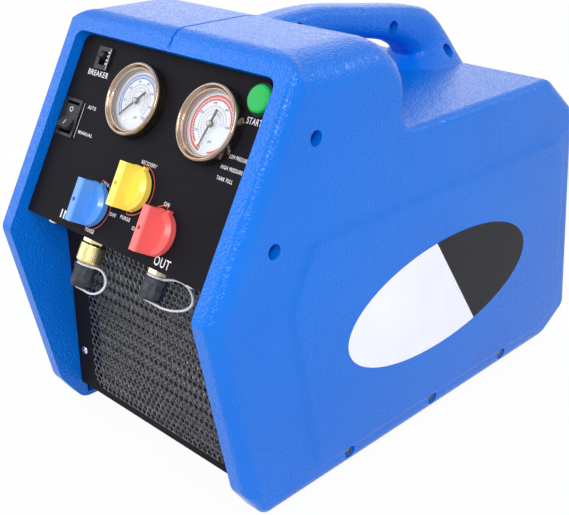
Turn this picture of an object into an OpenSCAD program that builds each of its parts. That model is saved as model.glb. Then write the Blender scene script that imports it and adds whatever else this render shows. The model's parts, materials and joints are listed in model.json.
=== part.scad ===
// Portable refrigerant recovery machine: a moulded two-part housing around a sloped control panel,
// a hex-perforated grille, two pressure gauges, three valve knobs and two capped hose ports.
// Millimetres, +Z up, the front faces -Y, origin on the floor under the middle of the machine.

/* [Housing] */
// Width of the housing over its raised side panels, at the floor
body_w = 276; // [262:1:300]
// Length from the nose to the heel
body_l = 509; // [480:1:560]
// Height of the tower top above the floor
body_h = 366; // [356:1:396]
// Height of the rear deck above the floor
deck_h = 291; // [278:1:302]
// Length of the tower, from the nose crease to its rear wall
tower_l = 203; // [190:1:225]
// Wall thickness of the moulded halves
wall = 4; // [3:0.5:6]
// How far each side leans in between the floor and the tower top
side_draft = 0.5; // [0:0.5:8]
// Depth and half width of the groove along the seam of the halves
seam_groove = 1.6; // [0.8:0.2:3]
// Height of the raised panel on each side
side_raise = 2.5; // [1:0.5:5]
// Top edge of the raised side panels above the floor
side_panel_top = 233; // [215:1:250]
// Height of the rubber feet
foot_h = 4; // [3:0.5:8]

/* [Front] */
// Width of the front opening between the two cheeks
opening_w = 231; // [215:1:240]
// Height of the nose crease above the floor
nose_h = 194; // [180:1:205]
// Angle of the control panel from the floor
panel_slope = 61.6; // [56:0.1:68]
// Lean of the rim below the nose, from upright
lower_lean = 12; // [6:0.5:18]
// Slope length from the nose crease to the top of the opening
opening_rise = 175; // [160:1:180]
// Depth of the panel face below the rim crease
panel_recess = 5; // [3:0.5:10]
// Slope length from the nose crease to the lower edge of the panel
panel_foot = 19; // [14:1:26]
// Distance of the grille behind the nose crease
grille_setback = 50; // [42:1:60]
// Thickness of the folded sheet parts
sheet_t = 1.5; // [1:0.1:2.5]
// Distance between neighbouring holes of the grille
hole_pitch = 9.6; // [8:0.1:14]
// Bar left between neighbouring holes of the grille
hole_bar = 1.8; // [1:0.1:3]
// Plain margin of the grille at each side
grille_margin = 24; // [16:1:34]
// Height of the grille's bottom lip above the floor
grille_foot = 23; // [20:1:30]

/* [Handle] */
// Width of the handle bar
handle_w = 34; // [28:1:40]
// Height of the handle bar
handle_t = 29; // [24:1:34]
// Height of the finger gap between deck and bar, in the middle of the grip
handle_gap = 38; // [34:1:46]
// Distance from the tower's rear wall to the middle of the rear leg
leg_reach = 188; // [170:1:200]
// Half width of the flared foot of the rear leg
leg_flare = 48; // [36:1:60]

/* [Gauges] */
// Outside diameter of the gauge bezels
gauge_d = 60; // [52:1:66]
// How far the bezels stand out from the panel
gauge_rise = 10.5; // [8:0.5:14]
// Slope height of the gauge centres above the nose crease
gauge_v = 133; // [125:1:138]
// Sideways place of the low-pressure gauge
gauge_low_u = -23; // [-34:1:-16]
// Sideways place of the high-pressure gauge
gauge_high_u = 63; // [56:1:68]
// Needle direction at zero on the low-pressure dial, from +X
low_zero = 225; // [215:1:240]
// Needle direction at zero on the high-pressure dial, from +X
high_zero = 257; // [230:1:265]

/* [Knobs] */
// Diameter of the valve knobs
knob_d = 36; // [30:1:38]
// Height of the valve knobs above the panel
knob_h = 20; // [16:1:24]
// Sideways place of the middle knob
knob_u = 5.5; // [0:0.5:10]
// Sideways distance between neighbouring knobs
knob_pitch = 40.5; // [38:0.5:46]
// Slope height of the two outer knobs above the nose crease
knob_v = 45.5; // [43:0.5:52]
// How much higher the middle knob sits
knob_lift = 23.5; // [20:0.5:26]
// Diameter of the valve stems
stem_d = 8; // [6:0.5:10]

/* [Controls] */
// Diameter of the start button's cap
button_d = 21; // [18:0.5:23]
// Travel of the start button
button_travel = 3; // [2:0.5:4]
// Sideways place of the start button
button_u = 101; // [97:0.5:103]
// Slope height of the start button
button_v = 159.5; // [150:0.5:161]
// Width of the power switch
switch_w = 23; // [15:0.5:24]
// Length of the power switch along the slope
switch_l = 32.5; // [24:0.5:34]
// Sideways place of the power switch
switch_u = -100; // [-102:0.5:-94]
// Slope height of the power switch
switch_v = 104; // [96:0.5:108]
// Tilt of the rocker to either side
rocker_tilt = 13; // [6:0.5:14]
// Width of the breaker
breaker_w = 17; // [14:0.5:18]
// Length of the breaker along the slope
breaker_l = 19; // [17:0.5:26]
// Sideways place of the breaker
breaker_u = -81.5; // [-84:0.5:-74]
// Slope height of the breaker
breaker_v = 158; // [150:0.5:161]

/* [Ports] */
// Depth of the port axes behind the rim crease
port_depth = 18.5; // [17:0.5:24]
// Diameter of the port nipples that the caps cover
port_d = 11.1; // [10:0.1:13]
// Outside diameter of the knurled inlet filter
filter_d = 21; // [18:0.5:24]
// Length of the knurled inlet filter
filter_l = 17; // [14:0.5:22]
// Diameter of the hose port caps
cap_d = 18.5; // [16:0.5:22]
// Length of the hose port caps
cap_l = 17; // [14:0.5:20]
// Thickness of the cap tethers
tether_d = 2.4; // [1.8:0.1:3]

/* [Inside] */
// Depth of the condenser block
coil_depth = 36; // [28:1:44]
// Diameter of the condenser tubes
coil_tube_d = 9.5; // [8:0.5:10]
// Diameter of the fan
fan_d = 124; // [100:1:130]
// Diameter of the motor
motor_d = 104; // [90:1:112]
// Length of the motor
motor_l = 110; // [90:1:120]
// Diameter of the copper lines
line_d = 9.5; // [6:0.5:10]

/* [Hidden] */

$fn = 48;
gap = 0.3;
run_clear = 0.05;
arc_steps = 5;
round_steps = 6;

// Frame of the front: the nose crease, the panel's up-slope and outward directions in the Y-Z plane
up = [cos(panel_slope), sin(panel_slope)];
out = [-sin(panel_slope), cos(panel_slope)];
low_dir = [sin(lower_lean), -cos(lower_lean)];
low_out = [-cos(lower_lean), -sin(lower_lean)];
rim_crest = 5;
nose_round = 12;
corner_r = 8;
nose_lead = nose_round - corner_shift(nose_round - rim_crest)[0];
nose = [-body_l / 2 + nose_lead, nose_h];
rear_y = body_l / 2;
side_x = body_w / 2 - side_raise;

// Housing outline: corners counter-clockwise from the toe, seen from +X
rear_lean = 9;
heel_rise = 30;
heel_round = 14;
heel_h = 37;
shoulder_drop = 33;
shoulder_back = 40;
shoulder_l = 44;
toe_h = 35;
toe_l = 22;
wall_out = [cos(rear_lean), sin(rear_lean)];
wall_up = [-sin(rear_lean), cos(rear_lean)];
heel_out = [sin(heel_rise), -cos(heel_rise)];
heel_dir = [cos(heel_rise), sin(heel_rise)];
heel_mid = [rear_y - heel_round, heel_h];
deck_end = [rear_y - shoulder_back - shoulder_l, deck_h];
shoulder_dir = unit([shoulder_l, -shoulder_drop]);
tower_y = nose[0] + tower_l;
rim_pt = nose + out * rim_crest;
low_pt = nose + low_out * rim_crest;
toe_top = meet(low_pt, low_dir, [0, toe_h], [1, 0]);
outline = [
    [toe_top[0] + toe_l, foot_h],
    meet(heel_mid + heel_out * heel_round, heel_dir, [0, foot_h], [1, 0]),
    meet(heel_mid + heel_out * heel_round, heel_dir, heel_mid + wall_out * heel_round, wall_up),
    meet(deck_end, shoulder_dir, heel_mid + wall_out * heel_round, wall_up),
    deck_end,
    [tower_y, deck_h],
    [tower_y, body_h],
    meet(rim_pt, up, [0, body_h], [1, 0]),
    meet(rim_pt, up, low_pt, low_dir),
    toe_top
];
corner_round = [15, 28, heel_round, 20, 18, 16, 42, 16, nose_round, 22];
// Round-over of each edge towards the sides: depth into the outline and reach across the width
edge_round = [13, 11, 12, 9, 8, 12, 26, 15, 14, 8];
edge_reach = [13, 11, 12, 9, 9, 14, 34, 9, 9, 8];
flat_x = side_x - edge_reach[0];
cap_mid = [nose[0] + tower_l * 0.7, nose_h];

// Raised side panel: corners counter-clockwise, kept back from the housing outline
side_front = 65;
side_edge = 20;
side_bevel = 7;
side_nose = nose + corner_shift(side_front);
side_outline = [
    meet(side_nose, low_dir, [0, side_edge], [1, 0]),
    meet(heel_mid - heel_out * (side_edge - heel_round), heel_dir, [0, side_edge], [1, 0]),
    meet(heel_mid - heel_out * (side_edge - heel_round), heel_dir,
        heel_mid - wall_out * (side_edge - heel_round), wall_up),
    meet(heel_mid - wall_out * (side_edge - heel_round), wall_up, [0, side_panel_top], [1, 0]),
    meet(side_nose, up, [0, side_panel_top], [1, 0]),
    side_nose
];
side_corner_round = [20, 20, 20, 24, 20, 24];

// Front opening, cheeks and the hollow behind them
cheek_back = nose[0] + grille_setback + 6;
rim_depth = panel_recess + 17;
hollow_knee = meet(nose - out * rim_depth, up, [cheek_back, 0], [0, 1]);
flange_in = 24;
bottom_open_w = 2 * (flat_x - flange_in);
floor_z = grille_foot - 1;
front_clear = 40;
panel_w = opening_w - 2 * gap;
panel_top = opening_rise - gap;
panel_face = -panel_recess;
panel_back = panel_face - sheet_t;
grille_y = nose[0] + grille_setback;
grille_t = 1.2;
flange_l = (grille_y - gap - nose[0] - up[0] * panel_foot + out[0] * panel_recess) / -out[0];
panel_heel = nose + up * panel_foot + out * panel_face;
grille_top = panel_heel[1] - out[1] * flange_l - 1;

// Handle stations: distance behind the tower wall, height, half width, half height, direction of the height
bar_z = deck_h + handle_gap + handle_t / 2;
handle_stations = [
    [-62, body_h - handle_t * 0.9, handle_w * 0.75, handle_t * 0.62, 100],
    [-18, body_h - handle_t * 0.64, handle_w * 0.6, handle_t * 0.54, 96],
    [leg_reach * 0.17, bar_z + 7, handle_w / 2, handle_t / 2, 88],
    [leg_reach * 0.52, bar_z - 1, handle_w / 2, handle_t * 0.52, 82],
    [leg_reach * 0.772, bar_z - 9.5, handle_w * 0.52, handle_t * 0.62, 74],
    [leg_reach * 0.923, bar_z - 19.5, handle_w * 0.57, handle_t * 0.825, 54],
    [leg_reach, deck_h + handle_gap * 0.53, leg_flare * 0.5, handle_t * 0.945, 22],
    [leg_reach * 1.016, deck_h + handle_gap * 0.163, leg_flare * 0.72, leg_flare * 0.75, 4],
    [leg_reach * 1.02, deck_h - 8, leg_flare * 0.98, leg_flare, -8],
    [leg_reach * 1.04, deck_h - 22, leg_flare * 1.08, leg_flare * 1.3, -10]
];
bar_round = 2.6;

// Screws: distance behind the nose crease and height, on the +X side
rim_screws = [[98.5, 308], [57, 234.5]];
grip_screws = [[tower_l + 1, body_h - 15], [tower_l + leg_reach * 0.68, bar_z - 9],
    [tower_l + leg_reach * 1.06, deck_h + handle_gap * 0.34]];
foot_screws_y = [148, 265, 380];
foot_screw_z = 18.5;
recess_d = 12;
screw_d = 8;
sheet_screw_d = 8;
grille_screw_in = 39;
rim_screw_x = side_x - 13;
grip_screw_x = [handle_w * 0.24, handle_w * 0.24, handle_w * 0.34];

// Gauges
gauge_body_d = gauge_d - 8;
gauge_lip = 3.2;
gauge_front = panel_face + gauge_rise;
dial_z = gauge_front - 8.5;
lens_t = 1.6;
needle_z = dial_z + 2.2;
gauge_depth = 26;

// Knobs, stems and valves: [sideways, up-slope] of the inlet, mode and outlet valves
knob_at = [[knob_u - knob_pitch, knob_v], [knob_u, knob_v + knob_lift], [knob_u + knob_pitch, knob_v]];
knob_seat = panel_face + 0.8;
valve_size = 24;
valve_top = panel_back - 1.5;
pointer_angle = 68;

// Part of the breaker's width left beside its lever
breaker_cheek = 9.5;

// Ports
port_flange = panel_foot;
hex_h = 3.6;
ring_t = 2.2;
neck_l = 4.5;
inlet_end = port_flange - hex_h - filter_l;
outlet_end = port_flange - neck_l;
nipple_l = 11.5;
cap_bore_l = 12.5;

// Rear face: vents and the power inlet
vent_rows = 8;
vent_pitch = 13;
vent_h = 6;
vent_low = 118;
vent_x = [30, 98];
inlet_size = [30, 22];
inlet_at = [62, 52];

// Feet: length and the places of the two pairs
foot_l = 54;
foot_front = front_clear + 36;
foot_back = 130;

// Inside
coil_y = cheek_back + 2;
coil_w = bottom_open_w - 4;
coil_top = grille_top - 10;
tube_rows = 6;
tube_pitch = (coil_top - floor_z - 20) / (tube_rows - 1);
shroud_y = coil_y + coil_depth + 6;
fan_z = floor_z + fan_d / 2 + 14;
fan_y = shroud_y + 10;
fan_motor_y = fan_y + 24;
drive_z = floor_z + motor_d / 2 + 12;
fan_motor_l = 40;
compressor_gap = 22;
compressor_y = fan_motor_y + fan_motor_l + compressor_gap;
compressor_l = 92;
drive_y = compressor_y + compressor_l;
capacitor_d = 38;
capacitor_l = 70;
terminal_d = 26;
terminal_l = 5;

function unit(v) = v / norm(v);
function left_of(d) = [-d[1], d[0]];
function turned(v, a) = [v[0] * cos(a) - v[1] * sin(a), v[0] * sin(a) + v[1] * cos(a)];
function turn_of(a, b) = atan2(a[0] * b[1] - a[1] * b[0], a * b);

// Where the line through p along d crosses the line through q along e
function meet(p, d, q, e) =
    p + d * ((q[0] - p[0]) * e[1] - (q[1] - p[1]) * e[0]) / (d[0] * e[1] - d[1] * e[0]);

// Step from the nose crease to the point k behind both of its lines
function corner_shift(k) = -k * (out + low_out) / (1 + out * low_out);

// Round stretch of radius r where the edge direction turns from a to b at point p
function corner_arc(p, a, b, r) = let(t = turn_of(a, b), s = p - a * r * tan(abs(t) / 2),
    c = s + left_of(a) * r * sign(t)) [for (k = [0:arc_steps]) c + turned(s - c, t * k / arc_steps)];

// Outline with rounded corners, each edge moved inwards by its own depth
function rounded(pts, radii, depths, r_min) = let(
    n = len(pts),
    dirs = [for (i = [0:n - 1]) unit(pts[(i + 1) % n] - pts[i])],
    moved = [for (i = [0:n - 1]) let(a = left_of(dirs[(i + n - 1) % n]), b = left_of(dirs[i]),
        da = depths[(i + n - 1) % n], db = depths[i])
        pts[i] + [da * b[1] - db * a[1], db * a[0] - da * b[0]] / (a[0] * b[1] - a[1] * b[0])])
    [for (i = [0:n - 1]) let(a = dirs[(i + n - 1) % n], b = dirs[i],
        r = radii[i] - sign(turn_of(a, b)) * (depths[i] + depths[(i + n - 1) % n]) / 2)
        each corner_arc(moved[i], a, b, max(r, r_min))];

// Side lean at height z, as a share of the half width
function lean(z) = 1 - side_draft * z / (body_h * side_x);
function placed(x, pts) = [for (p = pts) [x * lean(p[1]), p[0], p[1]]];
function body_ring(x, inset) =
    placed(x, rounded(outline, corner_round, [for (e = edge_round) inset], 6));

// Ring of the round-over at angle a, from the flat of each edge to the side
function rim_ring(a, inset) = let(n = len(outline), q = rounded(outline, corner_round,
        [for (e = edge_round) e * (1 - cos(a)) + inset], 6),
    reach = [for (i = [0:n - 1], k = [0:arc_steps])
        edge_reach[(i + n - 1) % n] * (1 - k / arc_steps) + edge_reach[i] * k / arc_steps])
    [for (j = [0:len(q) - 1])
        [(side_x - reach[j] * (1 - sin(a)) - inset) * lean(q[j][1]), q[j][0], q[j][1]]];
function side_ring(x, inset) =
    placed(x, rounded(side_outline, side_corner_round, [for (c = side_corner_round) inset], 6));

// Ring of one handle station, from the seam on top over the +X side to the seam below
function bar_ring(c, lift, hw, ht, n) = let(nrm = [cos(lift), sin(lift)])
    [for (k = [0:n]) let(a = 90 - 180 * k / n, x = hw * pow(abs(cos(a)), 2 / bar_round),
        w = ht * sign(sin(a)) * pow(abs(sin(a)), 2 / bar_round),
        dip = (k == 0 || k == n) ? seam_groove * 0.6 * sign(w) : 0, p = c + nrm * (w - dip))
        [k == 0 || k == n ? 0 : x, p[0], p[1]]];

// Smooth place on the handle line between the stations
function blend4(a, b, c, d, t) = 0.5 * ((2 * b) + (c - a) * t + (2 * a - 5 * b + 4 * c - d) * t * t
    + (3 * b - a - 3 * c + d) * t * t * t);
function station(i) = handle_stations[min(max(i, 0), len(handle_stations) - 1)];
function along(s) = let(i = floor(s), t = s - i)
    blend4(station(i - 1), station(i), station(i + 1), station(i + 2), t);

// Solid between rings of equal point count, closed by fans about the two given middles
module loft(rings, first, last) {
    n = len(rings[0]);
    m = len(rings);
    pts = concat([for (r = rings) each r], [first, last]);
    sides = [for (i = [0:m - 2], j = [0:n - 1]) let(a = i * n + j, b = i * n + (j + 1) % n)
        each [[a, a + n, b + n], [a, b + n, b]]];
    start = [for (j = [0:n - 1]) [n * m, j, (j + 1) % n]];
    end = [for (j = [0:n - 1]) [n * m + 1, (m - 1) * n + (j + 1) % n, (m - 1) * n + j]];
    polyhedron(points = pts, faces = concat(sides, start, end), convexity = 6);
}

// Prism along X of an outline in the Y-Z plane
module prism_x(pts, x0, x1) {
    translate([x0, 0, 0]) rotate([90, 0, 90]) linear_extrude(x1 - x0) polygon(pts);
}

// Place on the control panel: sideways, up the slope and out of the crease plane
module on_panel(u, v, h) {
    translate([0, nose[0], nose[1]]) rotate([panel_slope, 0, 0]) translate([u, v, h]) children();
}

// Place on the rear wall: sideways, up the wall from the heel and out of it
module on_rear(x, w, h) {
    foot = heel_mid + wall_out * heel_round;
    translate([0, foot[0], foot[1]]) rotate([rear_lean - 90, 0, 0]) rotate([0, 0, 180])
        translate([-x, w, h]) children();
}

// Flat plate with round ends, lying on its face
module stadium(l, w, t) {
    linear_extrude(t) {
        square([l - w, w], center = true);
        for (s = [-1, 1]) translate([s * (l - w) / 2, 0]) circle(d = w);
    }
}

module body_skin(x0, inset) {
    rings = concat(inset > 0 ? [body_ring(x0, inset)]
            : [body_ring(0, seam_groove), body_ring(seam_groove, 0)],
        [for (k = [0:round_steps]) rim_ring(90 * k / round_steps, inset)]);
    loft(rings, [x0, cap_mid[0], cap_mid[1]], [(side_x - inset) * lean(cap_mid[1]), cap_mid[0], cap_mid[1]]);
}

module side_panel() {
    mid = [side_outline[0][0] + body_l * 0.3, nose_h * 0.7];
    loft([side_ring(side_x - 1, 0), side_ring(side_x + side_raise, side_bevel)],
        [(side_x - 1) * lean(mid[1]), mid[0], mid[1]],
        [(side_x + side_raise) * lean(mid[1]), mid[0], mid[1]]);
}

module handle_half() {
    steps = 3;
    n = 10;
    last = len(handle_stations) - 1;
    rings = [for (k = [0:last * steps]) let(p = along(k / steps))
        bar_ring([tower_y + p[0], p[1]], p[4], p[2], p[3], n)];
    a = along(0);
    b = along(last);
    loft(rings, [2, tower_y + a[0], a[1]], [2, tower_y + b[0], b[1]]);
}

module hollow() {
    intersection() {
        body_skin(-1, wall);
        prism_x([[cheek_back, -20], [body_l, -20], [body_l, body_h * 2],
            meet(nose - out * rim_depth, up, [0, body_h * 2], [1, 0]), hollow_knee], -2, body_w);
    }
}

// Sheet outline between two slope heights with rounded top corners
module front_shape(u0, u1, v0, v1, r) {
    polygon(concat([[u0, v0], [u1, v0]], [for (k = [0:6]) [u1 - r + r * cos(15 * k), v1 - r + r * sin(15 * k)]],
        u0 < -1 ? [for (k = [0:6]) [u0 + r - r * sin(15 * k), v1 - r + r * cos(15 * k)]] : [[u0, v1]]));
}

module opening() {
    far = -body_l;
    mid = nose + up * (opening_rise / 2);
    prism_x([mid + out * 60, mid - out * (rim_depth + 1), hollow_knee - out, [cheek_back + 1, hollow_knee[1]],
        [cheek_back + 1, -20], [far, -20], [far, mid[1] + 60]], -1, opening_w / 2);
    on_panel(0, 0, -rim_depth - 1) linear_extrude(rim_depth + 61)
        front_shape(-1, opening_w / 2, panel_foot, opening_rise, corner_r);
}

// Post behind each rim screw
module screw_posts() {
    foot = rim_screw_x - 8;
    for (p = rim_screws) translate([foot, nose[0] + p[0], p[1]]) rotate([0, 90, 0])
        cylinder(d = recess_d + 2 * wall, h = side_x - 1 - foot, $fn = 32);
}

module housing_half() {
    screw_posts();
    difference() {
        union() {
            body_skin(0, 0);
            side_panel();
            handle_half();
        }
        hollow();
        opening();
        translate([-1, cheek_back - 1, foot_h - 1])
            cube([bottom_open_w / 2 + 1, rear_y - 75 - cheek_back, wall + 2]);
        translate([-1, cheek_back - 1, foot_h - 1]) cube([opening_w / 2 + 1, front_clear, wall + 2]);
        for (k = [0:vent_rows - 1]) hull() for (x = vent_x) on_rear(x, vent_low + k * vent_pitch, -25)
            cylinder(d = vent_h, h = 40, $fn = 16);
    }
}

module recess(x, y, z, d, depth) {
    translate([x, y, z]) rotate([0, 90, 0]) {
        cylinder(d = d, h = depth, $fn = 32);
        translate([0, 0, -6]) cylinder(d = screw_d / 2 + 2 * gap, h = 7, $fn = 16);
    }
}

module each_recess() {
    for (p = rim_screws) translate([rim_screw_x, nose[0] + p[0], p[1]]) children();
    for (i = [0:2]) translate([grip_screw_x[i], nose[0] + grip_screws[i][0], grip_screws[i][1]]) children();
    for (y = foot_screws_y) translate([side_x - wall + 1.5, nose[0] + y, foot_screw_z]) children();
}

module housing_left() {
    color("royalblue") mirror([1, 0, 0]) housing_half();
}

module housing_right() {
    color("royalblue") difference() {
        housing_half();
        each_recess() recess(0, 0, 0, recess_d, 40);
        on_rear(inlet_at[0], inlet_at[1], -20)
            translate([-inlet_size[0] / 2, -inlet_size[1] / 2, 0]) cube([inlet_size[0], inlet_size[1], 40]);
    }
}

module housing_screws() {
    color("silver") each_recess() rotate([0, 90, 0]) {
        difference() {
            cylinder(d1 = screw_d, d2 = screw_d * 0.7, h = 2.6);
            for (a = [0, 90]) rotate(a) translate([-2.2, -0.5, 1.4]) cube([4.4, 1, 2]);
        }
        translate([0, 0, -5]) cylinder(d = screw_d / 2, h = 5);
    }
}

// Tray with turned-down edges for the side screws, on two rails along the housing's bottom flange
module base_plate() {
    half = side_x - wall - 2;
    y0 = cheek_back + gap;
    y1 = rear_y - 72;
    rail_y = cheek_back + front_clear + 4;
    rail_x = bottom_open_w / 2 + 4;
    color("dimgray") difference() {
        union() {
            translate([-half, y0, floor_z - 2]) cube([2 * half, y1 - y0, 2]);
            for (s = [-1, 1]) {
                translate([s > 0 ? half - 2 : -half, rail_y, floor_z - 7]) cube([2, y1 - rail_y, 7]);
                translate([s > 0 ? rail_x : -rail_x - 2, rail_y, foot_h + wall])
                    cube([2, y1 - rail_y, floor_z - foot_h - wall - 1]);
            }
        }
        for (y = foot_screws_y) translate([half - 4, nose[0] + y, foot_screw_z])
            rotate([0, 90, 0]) cylinder(d = screw_d / 2 + 2 * gap, h = 8);
    }
}

module feet() {
    x = flat_x - flange_in / 2;
    color([0.12, 0.12, 0.13]) for (s = [-1, 1], y = [cheek_back + foot_front, rear_y - foot_back])
        translate([s * x, y, 0]) rotate([0, 0, 90]) stadium(foot_l, flange_in - 6, foot_h);
}

module control_panel() {
    color([0.12, 0.12, 0.13]) difference() {
        union() {
            on_panel(0, 0, panel_back) linear_extrude(sheet_t)
                front_shape(-panel_w / 2, panel_w / 2, panel_foot, panel_top, corner_r);
            on_panel(-panel_w / 2, panel_foot, panel_face - flange_l) cube([panel_w, sheet_t, flange_l]);
            on_panel(corner_r - panel_w / 2, panel_top - sheet_t, panel_face - 14)
                cube([panel_w - 2 * corner_r, sheet_t, 14]);
        }
        for (u = [gauge_low_u, gauge_high_u]) on_panel(u, gauge_v, panel_back - 1)
            cylinder(d = gauge_body_d + 2 * gap, h = sheet_t + 2);
        for (k = knob_at) on_panel(k[0], k[1], panel_back - 1) cylinder(d = stem_d + 2, h = sheet_t + 2);
        on_panel(button_u, button_v, panel_back - 1) cylinder(d = button_d + 2 * gap + 2, h = sheet_t + 2);
        on_panel(switch_u, switch_v, panel_back - 1)
            translate([-switch_w / 2 + 1, -switch_l / 2 + 1, 0]) cube([switch_w - 2, switch_l - 2, sheet_t + 2]);
        on_panel(breaker_u, breaker_v, panel_back - 1)
            translate([-breaker_w / 2 + 1, -breaker_l / 2 + 1, 0]) cube([breaker_w - 2, breaker_l - 2, sheet_t + 2]);
        for (k = [knob_at[0], knob_at[2]]) on_panel(k[0], panel_foot - 1, -port_depth)
            rotate([-90, 0, 0]) cylinder(d = port_d + 2 * gap, h = sheet_t + 2);
    }
}

module panel_screws() {
    color("silver") for (u = [-panel_w / 2 + 28, panel_w / 2 - 28])
        on_panel(u, panel_foot, panel_face - 8) rotate([90, 0, 0]) {
            cylinder(d1 = sheet_screw_d, d2 = sheet_screw_d * 0.62, h = sheet_screw_d * 0.32);
        }
}

// Sheet with a field of hexagonal holes, in its own plane
module hex_sheet(w, h, field_w, field_h, corner) {
    r = (hole_pitch - hole_bar) / sqrt(3);
    row = hole_pitch * sqrt(3) / 2;
    rows = floor((field_h / 2 - r) / row);
    cols = floor((field_w / 2 - r) / hole_pitch);
    at = [for (j = [-rows:rows], i = [-cols:cols]) let(x = (i + (abs(j) % 2) / 2) * hole_pitch, y = j * row,
        dx = max(abs(x) - field_w / 2 + corner, 0), dy = max(abs(y) - field_h / 2 + corner, 0))
        if (norm([dx, dy]) < corner - r && abs(x) < field_w / 2 - r) [x, y]];
    difference() {
        translate([-w / 2, -h / 2, 0]) cube([w, h, grille_t]);
        for (p = at) translate([p[0], p[1], -1]) rotate([0, 0, 30]) cylinder(r = r, h = grille_t + 2, $fn = 6);
    }
}

module grille() {
    h = grille_top - grille_foot;
    color([0.1, 0.1, 0.11]) {
        translate([0, grille_y + grille_t, grille_foot + h / 2]) rotate([90, 0, 0])
            hex_sheet(panel_w, h, panel_w - 2 * grille_margin, h - 14, 12);
        translate([-panel_w / 2, grille_y, grille_foot]) cube([panel_w, 6, grille_t]);
    }
}

module grille_screws() {
    x = panel_w / 2 - grille_margin / 2;
    color("silver") for (s = [-1, 1], z = [grille_foot + grille_screw_in, grille_top - grille_screw_in])
        translate([s * x, grille_y, z]) rotate([90, 0, 0])
            cylinder(d1 = sheet_screw_d, d2 = sheet_screw_d * 0.62, h = sheet_screw_d * 0.32);
}

// Gauge cup with its bezel ring; z runs out of the panel from the crease plane
module gauge_case(u) {
    r = gauge_d / 2;
    b = gauge_body_d / 2;
    color([0.72, 0.66, 0.56]) on_panel(u, gauge_v, 0) rotate_extrude($fn = 72) polygon([
        [0, panel_back - gauge_depth], [b - 2, panel_back - gauge_depth], [b, panel_back - gauge_depth + 2],
        [b, panel_face], [r, panel_face], [r, gauge_front - 3], [r - 1, gauge_front - 0.8],
        [r - 2.4, gauge_front], [r - gauge_lip, gauge_front - 0.6], [r - gauge_lip - 1.4, gauge_front - 3],
        [b - 1.5, gauge_front - 3], [b - 1.5, dial_z - 1], [b - 3, dial_z - 1],
        [b - 3, panel_back - gauge_depth + 2.5], [0, panel_back - gauge_depth + 2.5]]);
}

module gauge_dial(u) {
    color("whitesmoke") on_panel(u, gauge_v, dial_z - 1) difference() {
        cylinder(d = gauge_body_d - 3 - 2 * run_clear, h = 1, $fn = 72);
        translate([0, 0, -1]) cylinder(d = 1.6 + 4 * run_clear, h = 3);
    }
}

module gauge_lens(u) {
    color([0.9, 0.95, 1, 0.35]) on_panel(u, gauge_v, gauge_front - 3 - lens_t - 2 * run_clear)
        cylinder(d = gauge_body_d - 3 - 2 * run_clear, h = lens_t, $fn = 72);
}

module gauge_needle(u, zero) {
    reach = gauge_body_d * 0.4;
    color([0.1, 0.1, 0.1]) on_panel(u, gauge_v, needle_z) rotate([0, 0, zero]) {
        linear_extrude(0.6) polygon([[-reach * 0.55, -1.1], [-reach * 0.3, -0.9], [reach * 0.7, -0.55], [reach, 0],
            [reach * 0.7, 0.55], [-reach * 0.3, 0.9], [-reach * 0.55, 1.1]]);
        translate([0, 0, -0.8]) cylinder(r = 2.6, h = 2);
        translate([0, 0, -6]) cylinder(d = 1.6, h = 6);
    }
}

// Bar knob: a chamfered skirt with a tapered grip across it and a pointer on the rim
module valve_knob(k, tint) {
    r = knob_d / 2;
    skirt = knob_h * 0.42;
    color(tint) on_panel(k[0], k[1], knob_seat) difference() {
        union() {
            rotate_extrude($fn = 72) polygon([[0, 0], [r, 0], [r, skirt * 0.62], [r - 3, skirt], [0, skirt]]);
            translate([0, r - 0.6, 0]) rotate([90, 0, 0]) linear_extrude(knob_d - 1.2) polygon([
                [-knob_d * 0.2, 1], [knob_d * 0.2, 1], [knob_d * 0.11, knob_h - 1], [knob_d * 0.085, knob_h],
                [-knob_d * 0.085, knob_h], [-knob_d * 0.11, knob_h - 1]]);
            rotate([0, 0, pointer_angle]) translate([r - 2, -1.1, 0]) cube([3.6, 2.2, skirt * 0.5]);
        }
        translate([0, 0, -1]) cylinder(d = stem_d + 2 * run_clear, h = knob_h * 0.7 + 1);
        translate([0, 0, knob_h - 4]) cylinder(d = 3.4, h = 5);
    }
}

module valve_stem(k) {
    bottom = gap - port_depth;
    color("silver") on_panel(k[0], k[1], bottom)
        cylinder(d = stem_d, h = knob_seat - bottom + knob_h * 0.7 - gap);
}

// Valve block with a collar against the panel and a bore for its stem
module valve_body(k) {
    deep = -port_depth - valve_size / 2;
    color([0.78, 0.66, 0.38]) on_panel(k[0], k[1], 0) difference() {
        union() {
            translate([-valve_size / 2, -valve_size / 2, deep]) cube([valve_size, valve_size, valve_top - deep]);
            translate([0, 0, valve_top - 1]) cylinder(d = stem_d + 7, h = panel_back - valve_top + 1);
        }
        translate([0, 0, -port_depth]) cylinder(d = stem_d + 2 * run_clear, h = port_depth);
    }
}

// Turned shape about a port axis: [radius, distance up the slope] pairs
module port_turned(u, pts) {
    on_panel(u, 0, -port_depth) rotate([-90, 0, 0]) rotate_extrude() polygon(pts);
}

module port_hex(u, v0, v1, across) {
    on_panel(u, v0, -port_depth) rotate([-90, 0, 0]) cylinder(d = across / cos(30), h = v1 - v0, $fn = 6);
}

module inlet_port() {
    u = knob_at[0][0];
    top = knob_v - valve_size / 2;
    color([0.85, 0.74, 0.45]) {
        port_turned(u, [[0, port_flange - hex_h - 7], [port_d / 2 - 1, port_flange - hex_h - 7],
            [port_d / 2 - 1, port_flange - hex_h], [port_d / 2 - 1, port_flange], [port_d / 2, port_flange],
            [port_d / 2, top], [0, top]]);
        difference() {
            port_hex(u, port_flange - hex_h, port_flange, filter_d * 0.8);
            port_turned(u, [[0, 0], [port_d / 2 - 1, 0], [port_d / 2 - 1, port_flange + 1], [0, port_flange + 1]]);
        }
    }
}

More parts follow.
